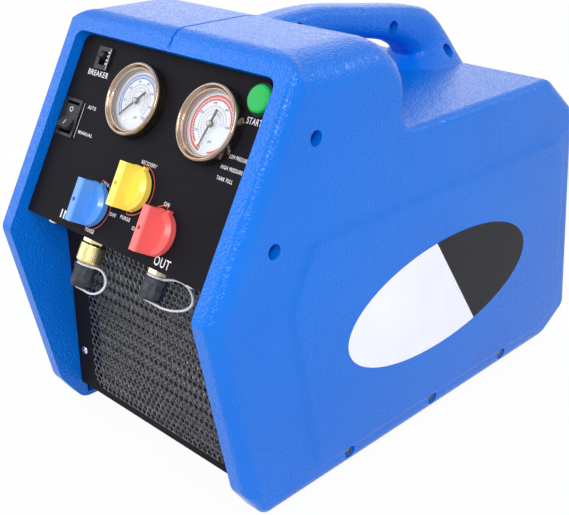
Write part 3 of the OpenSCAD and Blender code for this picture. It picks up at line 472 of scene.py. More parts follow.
class Graph:
    """Short calls for adding and joining shader nodes."""

    def __init__(self, tree: bpy.types.NodeTree) -> None:
        """Takes the tree that the nodes go into, and empties it."""
        self.tree = tree
        tree.nodes.clear()

    def join(self, source: Socket, target: Socket) -> None:
        """Links an output to an input."""
        self.tree.links.new(source, target)

    def feed(self, given: object, target: Socket) -> None:
        """Links an input to another node's output, or sets its number or colour."""
        if isinstance(given, Socket):
            self.join(given, target)
        else:
            target.default_value = (*given, 1.0) if isinstance(given, tuple) else given

    def add(self, kind: str, **settings: object) -> Node:
        """Adds a node; a setting is one of its own or what feeds an input."""
        node = self.tree.nodes.new(kind)
        for key, value in settings.items():
            if hasattr(node, key):
                setattr(node, key, value)
            else:
                self.feed(value, node.inputs[key.replace("_", " ")])
        return node

    def ends(self, given: str, value: float, *gives: str) -> tuple[Socket, Node]:
        """Adds the ends of a group.

        Args:
            given: Name of the input.
            value: Its usual value.
            gives: Names of the outputs.

        Returns:
            The input, and the node that the outputs go to.
        """
        sockets = self.tree.interface
        kind = "NodeSocketFloat"
        made = sockets.new_socket(name=given, in_out="INPUT", socket_type=kind)
        made.default_value = value
        for name in gives:
            sockets.new_socket(name=name, in_out="OUTPUT", socket_type=kind)
        return self.add("NodeGroupInput").outputs[given], self.add("NodeGroupOutput")

    def effect(self, effect: Effect, **inputs: float) -> Node:
        """Places a shared effect with its own values."""
        return self.add("ShaderNodeGroup", node_tree=Effects.group(effect), **inputs)

    def place(self) -> Socket:
        """Gives the Object coordinates."""
        return self.add("ShaderNodeTexCoord").outputs["Object"]

    def ramp(self, source: Socket, **ends: object) -> Socket:
        """Maps a value from one range to another; each range is 0 to 1 unless it is given."""
        return self.add("ShaderNodeMapRange", Value=source, **ends).outputs["Result"]

    def calc(self, operation: str, a: object, b: object, clamp: bool = False) -> Socket:
        """Works with two values; each is a number or another node's output."""
        node = self.add("ShaderNodeMath", operation=operation, use_clamp=clamp)
        self.feed(a, node.inputs[0])
        self.feed(b, node.inputs[1])
        return node.outputs[0]

    def mix(self, mask: object, a: object, b: object) -> Socket:
        """Mixes two colours by a mask; each is plain or another node's output."""
        node = self.add("ShaderNodeMix", data_type="RGBA", Factor=mask, A=a, B=b)
        return node.outputs["Result"]

    def bump(self, height: Socket, strength: float, rise: float) -> Node:
        """Raises a surface by a height, at most a rise in millimetres."""
        return self.add("ShaderNodeBump", Strength=strength, Distance=rise * MM, Height=height)

    def looked_at(self) -> Socket:
        """Tells the rays of the camera, of reflections and of clear pieces from the light."""
        path = self.add("ShaderNodeLightPath").outputs
        seen = path["Is Camera Ray"]
        for name in ("Is Glossy Ray", "Is Transmission Ray"):
            seen = self.calc("MAXIMUM", seen, path[name])
        return seen

    def show(self, output: str, share: Socket, first: Node, second: Node) -> None:
        """Puts out a mix of two shaders."""
        blend = self.add("ShaderNodeMixShader", Fac=share)
        for shader, target in zip((first, second), blend.inputs[1:]):
            self.join(shader.outputs[0], target)
        self.add(output, Surface=blend.outputs[0])


class Effect(Enum):
    """The shared surface effects, each one node group."""

    PEBBLE = "pebble grain"
    MOTTLE = "mottle"
    # the raised-edge mask, for rubbed wear and for painted glints
    RUB = "edge rub"
    BRUSH = "brushed lines"


class Effects:
    """Builds each shared effect once."""

    flat: float = 0.51  # pointiness up to which a place counts as flat
    fineness: Triple = (120.0, 2200.0, 900.0)  # of the brushed lines along each axis

    @staticmethod
    def group(effect: Effect) -> bpy.types.NodeTree:
        """Gives an effect's node group, built at its first use."""
        tree = bpy.data.node_groups.get(effect.value)
        if tree is None:
            tree = bpy.data.node_groups.new(effect.value, "ShaderNodeTree")
            builders = {
                Effect.PEBBLE: Effects.pebble,
                Effect.MOTTLE: Effects.mottle,
                Effect.RUB: Effects.rub,
                Effect.BRUSH: Effects.brush,
            }
            builders[effect](Graph(tree))
        return tree

    @staticmethod
    def pebble(graph: Graph) -> None:
        """Rounded pebbles pressed into a mould face: Height, and Pit, a mask of painted shade in
        the valleys between them.
        """
        scale, gives = graph.ends("Scale", 380.0, "Height", "Pit Shade")
        place = graph.place()
        warp = graph.add("ShaderNodeTexNoise", Vector=place, Scale=90.0, Detail=2.0)
        cells = graph.add(
            "ShaderNodeTexVoronoi",
            feature="SMOOTH_F1",
            Vector=graph.mix(mask=0.004, a=place, b=warp.outputs["Color"]),
            Scale=scale,
            Smoothness=0.35,
            Randomness=0.9,
        )
        far = cells.outputs["Distance"]
        dome = graph.ramp(far, interpolation_type="SMOOTHSTEP", From_Min=0.75, From_Max=0.12)
        graph.join(dome, gives.inputs["Height"])
        graph.join(graph.ramp(far, From_Min=0.45, From_Max=0.8), gives.inputs["Pit Shade"])

    @staticmethod
    def mottle(graph: Graph) -> None:
        """Slow drift and fine speckle of a surface: Drift and Speckle."""
        scale, gives = graph.ends("Scale", 20.0, "Drift", "Speckle")
        place, noise = graph.place(), "ShaderNodeTexNoise"
        slow = graph.add(noise, Vector=place, Scale=scale, Detail=4.0, Roughness=0.55)
        drift = graph.ramp(slow.outputs["Fac"], From_Min=0.3, From_Max=0.7)
        graph.join(drift, gives.inputs["Drift"])
        fine = graph.add(noise, Vector=place, Scale=1500.0, Detail=2.0)
        graph.join(fine.outputs["Fac"], gives.inputs["Speckle"])

    @staticmethod
    def rub(graph: Graph) -> None:
        """The raised edges: Mask, for rubbed wear on most finishes and for painted glints on the
        grille's bars.
        """
        reach, gives = graph.ends("Reach", 0.03, "Mask")
        edge = graph.add("ShaderNodeNewGeometry").outputs["Pointiness"]
        share = graph.calc("DIVIDE", graph.calc("SUBTRACT", edge, Effects.flat), reach, clamp=True)
        patch = graph.add(
            "ShaderNodeTexNoise", Vector=graph.place(), Scale=130.0, Detail=5.0, Roughness=0.7
        )
        broken = graph.ramp(patch.outputs["Fac"], From_Min=0.42, From_Max=0.66)
        graph.join(graph.calc("MULTIPLY", share, broken, clamp=True), gives.inputs["Mask"])

    @staticmethod
    def brush(graph: Graph) -> None:
        """Fine lines left by turning or rolling: Line."""
        scale, gives = graph.ends("Scale", 1.0, "Line")
        stretch = graph.add("ShaderNodeVectorMath", operation="MULTIPLY")
        stretch.inputs[1].default_value = Effects.fineness
        graph.join(graph.place(), stretch.inputs[0])
        lines = graph.add(
            "ShaderNodeTexNoise", Vector=stretch.outputs[0], Scale=scale, Detail=3.0
        )
        graph.join(lines.outputs["Fac"], gives.inputs["Line"])


@dataclass(frozen=True)
class Finish:
    """A surface: its colours, gloss, grain and wear, and painted light where it is given: shade in
    the pebbles' valleys, glints on edges and in rows. Heights are in millimetres.
    """

    name: str
    colour: Screen
    shade: Screen
    rough: tuple[float, float]
    metallic: float = 0.0
    coat: float = 0.0
    coat_rough: float = 0.12
    # colour of the raised edges: rubbed wear, and on the grille a painted glint
    worn: Screen | None = None
    reach: float = 0.04
    drift: float = 18.0
    pebble: float = 0.0
    pebble_height: float = 0.0
    # share of painted shade in the valleys between the pebbles
    pit_depth: float = 0.35
    speckle_height: float = 0.02
    speckle_strength: float = 0.7
    brushed: bool = False
    alpha: float = 1.0
    specular: float = 0.5
    # pitch in millimetres of painted rows of glints, 0 for none, and their colour
    ripple: float = 0.0
    crest: Screen = (255, 255, 255)

    def material(self) -> bpy.types.Material:
        """Gives the surface's material, built at its first use."""
        found = bpy.data.materials.get(self.name)
        if found is not None:
            return found
        made = bpy.data.materials.new(self.name)
        made.use_nodes = True
        graph = Graph(made.node_tree)
        mottle = graph.effect(Effect.MOTTLE, Scale=self.drift).outputs
        shade = linear(self.shade)
        colour = graph.mix(mottle["Drift"], linear(self.colour), shade)
        # painted glints: light rows across the surface at the given pitch
        if self.ripple:
            rows = graph.add(
                "ShaderNodeTexWave",
                bands_direction="Z",
                Vector=graph.place(),
                Scale=WAVE / (self.ripple * MM),
            )
            high = graph.ramp(rows.outputs["Fac"], To_Min=-1.0, To_Max=1.0)
            colour = graph.mix(high, colour, linear(self.crest))
        grain = mottle["Speckle"]
        if self.brushed:
            grain = graph.effect(Effect.BRUSH).outputs["Line"]
        bump = graph.bump(grain, self.speckle_strength, self.speckle_height)
        if self.pebble:
            pebble = graph.effect(Effect.PEBBLE, Scale=self.pebble).outputs
            # painted shade: the valleys between the pebbles are mixed towards the shade colour
            pit_shade = graph.ramp(pebble["Pit Shade"], To_Min=0.0, To_Max=self.pit_depth)
            colour = graph.mix(pit_shade, colour, shade)
            lifted = graph.bump(pebble["Height"], 1.0, self.pebble_height)
            graph.join(bump.outputs["Normal"], lifted.inputs["Normal"])
            bump = lifted
        # raised edges take the edge colour: rubbed wear, and on the grille a painted glint on the
        # bars
        if self.worn is not None:
            rub = graph.effect(Effect.RUB, Reach=self.reach)
            colour = graph.mix(rub.outputs["Mask"], colour, linear(self.worn))
        low, high = self.rough
        shader = graph.add(
            "ShaderNodeBsdfPrincipled",
            Base_Color=colour,
            Metallic=self.metallic,
            Roughness=graph.ramp(grain, To_Min=low, To_Max=high),
            Alpha=self.alpha,
            Normal=bump.outputs["Normal"],
            Specular_IOR_Level=self.specular,
            Coat_Weight=self.coat,
            Coat_Roughness=self.coat_rough,
        )
        graph.add("ShaderNodeOutputMaterial", Surface=shader.outputs[0])
        return made


def ink(name: str, colour: Screen, shade: Screen) -> Finish:
    """Gives a matt printing ink."""
    return Finish(f"ink_{name}", colour, shade, (0.5, 0.65), drift=300.0)


def knob(name: str, colour: Screen, shade: Screen, worn: Screen) -> Finish:
    """Gives a knob's moulded plastic."""
    return Finish(f"knob_{name}", colour, shade, (0.36, 0.5), worn=worn, drift=50.0)


class Finishes:
    """Every surface of the machine."""

    HOUSING = Finish(
        "moulded_blue", (4, 114, 223), (3, 106, 214), (0.18, 0.28),
        pebble=480.0, pebble_height=0.28, drift=7.0, specular=0.24,
    )
    SHEET_BLACK = Finish(
        "black_sheet", (25, 24, 29), (28, 27, 32), (0.58, 0.72),
        speckle_height=0.03, specular=0.06,
    )
    # its light edge colour is a painted glint on the bars of the web
    GRILLE = Finish(
        "grille_black", (44, 45, 50), (52, 53, 59), (0.3, 0.44),
        worn=(150, 150, 156), reach=0.05, specular=0.4,
    )
    TRAY = Finish(
        "tray_grey", (58, 58, 62), (46, 46, 50), (0.42, 0.6),
        worn=(110, 110, 116), speckle_height=0.05,
    )
    RUBBER = Finish(
        "foot_rubber", (28, 28, 30), (40, 40, 42), (0.7, 0.9),
        speckle_height=0.06, specular=0.3,
    )
    BEZEL = Finish(
        "bezel_metal", (170, 150, 132), (146, 126, 110), (0.16, 0.26),
        metallic=1.0, drift=60.0, worn=(236, 228, 216), reach=0.08, speckle_height=0.004,
    )
    HUB = Finish(
        "hub_grey", (168, 160, 156), (140, 132, 128), (0.24, 0.36),
        metallic=0.8, speckle_height=0.004,
    )
    DIAL = Finish(
        "dial_white", (224, 230, 240), (212, 220, 234), (0.4, 0.5), speckle_height=0.004
    )
    LENS = Finish(
        "window_clear", (255, 255, 255), (250, 253, 255), (0.03, 0.06),
        alpha=0.06, speckle_height=0.0,
    )
    NEEDLE = Finish("needle_black", (18, 18, 20), (30, 30, 34), (0.4, 0.5), specular=0.15)
    KNOB_BLUE = knob("blue", (52, 138, 246), (42, 124, 236), (120, 184, 255))
    KNOB_YELLOW = knob("yellow", (250, 226, 124), (246, 217, 108), (255, 244, 160))
    KNOB_RED = knob("red", (247, 122, 120), (241, 110, 108), (255, 160, 160))
    BUTTON = Finish(
        "button_green", (14, 176, 80), (12, 164, 72), (0.3, 0.42),
        worn=(100, 214, 146), specular=0.25,
    )
    STEEL = Finish(
        "bright_steel", (206, 208, 212), (170, 172, 178), (0.2, 0.36),
        metallic=1.0, brushed=True, worn=(240, 240, 242), drift=120.0,
    )
    BRASS = Finish(
        "turned_brass", (244, 226, 166), (222, 198, 130), (0.2, 0.36),
        metallic=1.0, brushed=True, worn=(250, 240, 200), drift=90.0,
    )
    CAP = Finish(
        "cap_black", (38, 42, 50), (30, 33, 40), (0.42, 0.58),
        worn=(86, 90, 100), speckle_height=0.05, specular=0.3,
    )
    TETHER = Finish("tether_white", (216, 217, 226), (196, 198, 208), (0.4, 0.55))
    SWITCH = Finish(
        "switch_black", (18, 18, 21), (26, 26, 30), (0.3, 0.44),
        worn=(52, 52, 58), specular=0.2,
    )
    INK_WHITE = ink("white", (242, 242, 244), (226, 226, 230))
    INK_ARC = ink("arc", (206, 82, 84), (186, 68, 72))
    INK_RED = ink("red", (214, 58, 60), (198, 48, 52))
    INK_BLUE = ink("blue", (48, 110, 204), (40, 98, 190))
    INK_BLACK = ink("black", (34, 34, 38), (54, 54, 60))
    INK_GREY = ink("grey", (150, 148, 158), (168, 158, 166))
    LABEL_WHITE = Finish(
        "label_white", (242, 243, 250), (234, 236, 246), (0.3, 0.4),
        coat=0.1, speckle_height=0.01,
    )
    LABEL_DARK = Finish(
        "label_grey", (32, 33, 38), (38, 39, 45), (0.4, 0.52),
        speckle_height=0.01, specular=0.12,
    )
    SCREW_DARK = Finish(
        "screw_dark", (104, 112, 128), (76, 84, 98), (0.28, 0.42), metallic=0.9
    )
    # its light rows are painted glints of the tubes and fins catching light
    FIN = Finish(
        "fin_alloy", (84, 86, 92), (98, 100, 106), (0.4, 0.55),
        brushed=True, ripple=12.0, crest=(216, 218, 224),
    )
    COPPER = Finish(
        "copper_tube", (206, 128, 92), (160, 94, 66), (0.25, 0.4), metallic=1.0, brushed=True
    )
    CAST = Finish(
        "cast_alloy", (150, 152, 156), (120, 122, 126), (0.45, 0.65),
        metallic=0.8, speckle_height=0.1,
    )
    IRON = Finish(
        "painted_iron", (52, 54, 58), (40, 42, 46), (0.4, 0.6),
        worn=(120, 120, 124), speckle_height=0.06,
    )
    FAN = Finish("fan_plastic", (36, 37, 40), (28, 29, 32), (0.4, 0.55), worn=(80, 82, 86))


@dataclass
class Screws:
    """Cross-head screws seated where a node's plain screws are. A head has radius 1."""

    shop: Workshop
    node: str
    out: Vector
    finish: Finish = Finishes.STEEL
    profile: Profile = (
        (0.9, 0.0), (1.0, 0.12), (1.0, 0.4), (0.95, 0.62), (0.8, 0.84), (0.5, 0.97), (0.18, 1.0),
    )
    sides: int = 28
    bar: Triple = (1.125, 0.2, 0.7)
    bar_rise: float = 0.9
    bar_turns: tuple[float, float] = (20.0, 110.0)

    def build(self) -> None:
        """Models one head and copies it to every seat."""
        seats = self.seats()
        piece = copies(f"{self.node}_heads", self.head(), seats)
        self.shop.seat(piece, self.finish, self.shop.body_of(self.node), "screw", self.node)

    def seats(self) -> list[Matrix]:
        """Finds each plain screw's middle, size and depth along the axis.

        Returns:
            One matrix for each, from a unit head to metres in the row frame.
        """
        plain = self.shop.copy_of(self.node, "plain_screws")
        activate(plain)
        bpy.ops.mesh.separate(type="LOOSE")
        turn = self.out.to_track_quat("Z", "Y").to_matrix().to_4x4()
        seats = []
        for part in list(bpy.context.selected_objects):
            local = [turn.inverted() @ v.co for v in part.data.vertices]
            low = Vector([min(p[i] for p in local) for i in range(3)])
            high = Vector([max(p[i] for p in local) for i in range(3)])
            middle, size = (low + high) / 2, high - low
            radius = min(size.x, size.y) / 2
            base = turn @ shift(middle.x, middle.y, low.z)
            seats.append(base @ Matrix.Diagonal((radius, radius, size.z, 1)))
            bpy.data.objects.remove(part)
        return seats

    def head(self) -> Piece:
        """Models a domed head of unit radius and height with a cross cut into it."""
        head = turned("screw_head", self.profile, self.sides)
        for turn in self.bar_turns:
            bar = block("cross_bar", self.bar)
            cut(head, moved(bar, turn_about("Z", turn), shift(0, 0, self.bar_rise)))
        smooth(head)
        return head


@dataclass
class SideLabel:
    """The bare two-tone oval sticker on the right side panel."""

    shop: Workshop
    centre: tuple[float, float] = (16.6, 130.2)
    axes: tuple[float, float] = (128.5, 51.6)
    tilt: float = 2.0
    divider: tuple[Triple, Triple] = ((1.0, 180.8, 0.0), (68.3, 84.8, 0.0))
    face_x: float = 138.0
    lean: float = 0.5 / (366.0 * 135.5)  # half a millimetre over the height of the wall
    lift: float = 0.05
    thickness: float = 0.2
    rounding: float = 0.08
    sides: int = 160

    def build(self) -> None:
        """Cuts the oval in two along the divider and sticks both on the panel."""
        for name, finish, front in (
            ("label_white", Finishes.LABEL_WHITE, True),
            ("label_grey", Finishes.LABEL_DARK, False),
        ):
            self.shop.seat(self.half(name, front), finish, MACHINE, "housing")

    def half(self, name: str, front: bool) -> Piece:
        """Makes one side of the oval.

        Args:
            name: The piece's name.
            front: True for the side nearer the front of the machine.

        Returns:
            The sticker half, bent to the lean of the panel.
        """
        oval = Matrix.Diagonal((*self.axes, 1, 1)), turn_about("Z", self.tilt)
        piece = moved(disc(name, self.sides, 1), *oval, shift(*self.centre))
        top, foot = (Vector(end) for end in self.divider)
        across = Vector((foot.y - top.y, top.x - foot.x, 0)).normalized()
        if front == (across.x > 0):
            across.negate()
        with editing(piece, "FACE"):
            bpy.ops.mesh.bisect(plane_co=top, plane_no=across)
        trim(piece, lambda at: (at - top).dot(across) < -SAME_POINT)
        with editing(piece, "FACE"):
            rise = {"value": (0, 0, self.thickness)}
            bpy.ops.mesh.extrude_region_move(TRANSFORM_OT_translate=rise)
            faced_out()
        for vert in piece.data.vertices:
            y, z, rise = vert.co
            x = self.face_x * (1 - self.lean * z) + self.lift + rise
            vert.co = Vector((x, y, z)) * MM
        rounded(piece, self.rounding * MM, segments=2, angle=60)
        smooth(piece)
        return piece


@dataclass
class Housing:
    """The two moulded halves with their screws and the side label."""

    shop: Workshop
    smooth_angle: float = 36.0
    seam_gap: float = 0.5
    seam_reach: float = 0.2
    groove_angles: tuple[float, float] = (40.0, 62.0)

    def build(self) -> None:
        """Smooths both halves and adds what is fixed to them."""
        for node in ("housing_left", "housing_right"):
            half = self.shop.copy_of(node, f"{node}_shell")
            self.open_seam(half)
            smooth(half, self.smooth_angle)
            self.shop.seat(half, Finishes.HOUSING, MACHINE, "housing", node)
        Screws(self.shop, "housing_screws", Vector((1, 0, 0)), Finishes.SCREW_DARK).build()
        SideLabel(self.shop).build()

    def open_seam(self, half: Piece) -> None:
        """Draws the foot of the seam's groove back, so that the joint shows."""
        side = math.copysign(self.seam_gap * MM, sum(v.co.x for v in half.data.vertices))
        with editing(half) as mesh:
            foot = {v for edge in mesh.edges if self.in_groove(edge) for v in edge.verts}
            for vert in foot:
                vert.co.x = side
            bmesh.update_edit_mesh(half.data)

    def in_groove(self, edge: bmesh.types.BMEdge) -> bool:
        """Tells whether an edge is the foot of the seam's groove."""
        reach = self.seam_reach * MM
        if len(edge.link_faces) != 2 or any(abs(v.co.x) > reach for v in edge.verts):
            return False
        low, high = self.groove_angles
        return low < math.degrees(edge.calc_face_angle()) < high


@dataclass
class BaseTray:
    """The tray under the machine and the rubber feet."""

    shop: Workshop

    def build(self) -> None:
        """Rounds the edges of both."""
        self.shop.dress("base_plate", "base_tray", Finishes.TRAY, "tray", width=0.8)
        self.shop.dress("feet", "rubber_feet", Finishes.RUBBER, "rubber", width=1.0)


@dataclass(frozen=True)
class Word:
    """One printed word: its two ends, its middle up the slope, its capitals' height."""

    text: str
    left: float
    right: float
    v: float
    height: float


@dataclass(frozen=True)
class Travel:
    """The printed travel of a knob: its middle, where the arc starts, how far it runs."""

    u: float
    v: float
    start: float
    sweep: float


@dataclass
class ControlPanel:
    """The folded sheet with its print."""

    shop: Workshop
    print_h: float = PANEL.face + 0.04
    small_print: float = 3.5
    small_style: tuple[float, float] = (0.02, 1.25)
    large_style: tuple[float, float] = (0.015, 1.12)
    words: tuple[Word, ...] = (
        Word("START", 92.5, 107.5, 143.3, 4.8),
        Word("LOW PRESSURE", 88.4, 106.0, 115.5, 2.8),
        Word("HIGH PRESSURE", 83.5, 105.5, 106.7, 2.8),
        Word("TANK FULL", 83.0, 99.5, 98.4, 2.8),
        Word("BREAKER", -97.2, -70.7, 144.9, 4.6),
        Word("AUTO", -82.0, -71.5, 116.8, 2.9),
        Word("MANUAL", -84.0, -65.0, 95.1, 2.7),
        Word("OUT", 50.5, 68.0, 25.6, 7.0),
        Word("IN", -71.0, -58.5, 27.9, 7.0),
        Word("RECOVERY", 2.0, 20.0, 90.2, 2.9),
        Word("PURGE", -0.6, 11.0, 45.0, 2.9),
        Word("ON", -32.0, -25.6, 63.5, 2.9),
        Word("OFF", -13.5, -6.0, 43.6, 2.9),
        Word("PURGE", -35.0, -24.4, 24.8, 2.9),
        Word("ON", 40.6, 46.9, 67.0, 2.9),
        Word("OFF", 16.0, 24.0, 40.5, 2.9),
    )
    travels: tuple[Travel, ...] = (
        Travel(-35.0, 45.5, 88.0, 180.0),
        Travel(5.5, 69.0, 88.0, 180.0),
        Travel(46.0, 45.5, 180.0, 90.0),
    )
    arc_radius: float = 20.3
    arc_width: float = 0.8
    tick_length: float = 2.0
    switch_line: tuple[float, float, float, float] = (-87.2, 104.0, 0.5, 30.0)

    def build(self) -> None:
        """Finishes the sheet, prints it and adds its screws."""
        self.shop.dress("control_panel", "panel_sheet", Finishes.SHEET_BLACK, "panel", width=0.5)
        self.shop.seat(self.legend(), Finishes.INK_WHITE, MACHINE, "panel")
        self.shop.seat(self.arcs(), Finishes.INK_ARC, MACHINE, "panel")
        down = PANEL.point(0, -1, 0) - PANEL.point(0, 0, 0)
        Screws(self.shop, "panel_screws", down.normalized()).build()

    def legend(self) -> Piece:
        """Prints the words and the line beside the switch."""
        made = []
        for word in self.words:
            small = word.height < self.small_print
            style = self.small_style if small else self.large_style
            width = word.right - word.left
            piece = words("word", word.text, word.height, width, *style)
            made.append(moved(piece, PANEL.matrix(word.left + width / 2, word.v, self.print_h)))
        u, v, width, length = self.switch_line
        line = moved(plate("line", width, length), PANEL.matrix(u, v, self.print_h))
        return joined("panel_legend", [*made, line])

    def arcs(self) -> Piece:
        """Prints the travel of each knob, with a tick at each end."""
        made = []
        inner = self.arc_radius - self.arc_width / 2
        outer = self.arc_radius + self.arc_width / 2
        inward = shift(self.arc_radius - self.tick_length / 2, 0)
        for travel in self.travels:
            place = PANEL.matrix(travel.u, travel.v, self.print_h)
            made.append(moved(band("arc", inner, outer, travel.start, travel.sweep), place))
            for turn in (travel.start, travel.start - travel.sweep):
                tick = plate("tick", self.tick_length, self.arc_width)
                made.append(moved(tick, inward, turn_about("Z", turn), place))
        return joined("knob_arcs", made)


@dataclass
class Grille:
    """The perforated sheet in front of the condenser."""

    shop: Workshop
    thick: float = 1.2
    pitch: float = 6.2
    bar: float = 1.35
    margin: float = 24.0
    edge: float = 7.0
    corner: float = 12.0
    corner_steps: int = 8
    rounding: float = 0.25
    sink: float = 0.15
    lap: float = 2.0
    merge: float = 0.01

    def build(self) -> None:
        """Punches the sheet and frames it."""
        low, high = (Vector(p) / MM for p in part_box("grille"))
        width, height = high.x - low.x, high.z - low.z
        window = width - 2 * self.margin, height - 2 * self.edge
        front = Matrix.Scale(MM, 4) @ shift(0, low.y, (low.z + high.z) / 2)
        border = self.border((width, height), window)
        web = moved(self.web(*window), shift(0, 0, -self.sink))
        for piece in (border, web):
            smooth(moved(piece, turn_about("X", 90), front), angle=30)
        self.shop.seat(border, Finishes.SHEET_BLACK, MACHINE, "grille", "grille")
        self.shop.seat(web, Finishes.GRILLE, MACHINE, "grille")
        Screws(self.shop, "grille_screws", Vector((0, -1, 0))).build()

    def border(self, sheet: tuple[float, float], window: tuple[float, float]) -> Piece:
        """Cuts the window with its rounded corners out of the sheet, front face at Z 0.

        Args:
            sheet: Width and height of the sheet.
            window: Width and height of the window.

        Returns:
            The border.
        """
        border = block("grille_border", (*sheet, self.thick))
        tool = block("window", (*window, self.thick * 4))
        with editing(tool, "EDGE") as mesh:
            for edge in mesh.edges:
                a, b = (v.co for v in edge.verts)
                edge.select_set(abs(a.z - b.z) > self.thick)
            bmesh.update_edit_mesh(tool.data)
            bpy.ops.mesh.bevel(offset=self.corner, segments=self.corner_steps, affect="EDGES")
        cut(moved(border, shift(0, 0, -self.thick / 2)), tool)
        rounded(border, self.rounding, segments=2, angle=50)
        return border

    def web(self, width: float, height: float) -> Piece:
        """Models one hexagonal cell and repeats it over the window.

        Args:
            width: Width of the window.
            height: Height of the window.

        Returns:
            The web, front face at Z 0.
        """
        web = disc("grille_web", 6, self.pitch / math.sqrt(3))
        with editing(web, "FACE"):
            bpy.ops.mesh.inset(thickness=self.bar / 2)
            bpy.ops.mesh.delete(type="FACE")
        row = self.pitch * math.sqrt(3) / 2
        for offset, count in (
            ((self.pitch, 0, 0), math.ceil(width / self.pitch) + 1),
            ((self.pitch / 2, row, 0), 2),
            ((0, 2 * row, 0), math.ceil(height / row / 2) + 1),
        ):
            modified(
                web, "ARRAY", count=count, use_relative_offset=False, use_constant_offset=True,
                constant_offset_displace=offset, use_merge_vertices=True,
                merge_threshold=self.merge,
            )
        with editing(web):
            bpy.ops.mesh.remove_doubles(threshold=2 * self.merge)
            faced_out()
        xs = [v.co.x for v in web.data.vertices]
        ys = [v.co.y for v in web.data.vertices]
        moved(web, shift(-(max(xs) + min(xs)) / 2, -(max(ys) + min(ys)) / 2))
        x, y = width / 2 + self.lap, height / 2 + self.lap
        trim(web, lambda at: abs(at.x) > x or abs(at.y) > y)
        modified(web, "SOLIDIFY", thickness=self.thick - 2 * self.sink, offset=-1)
        return web


@dataclass(frozen=True)
class Scale:
    """Printed rings and rows of marks, by shares of the dial's radius.

    A ring has its two ends, a row its marks to a step, their two ends and their width.
    """

    rings: tuple[tuple[float, float], ...]
    rows: tuple[tuple[int, float, float, float], ...]


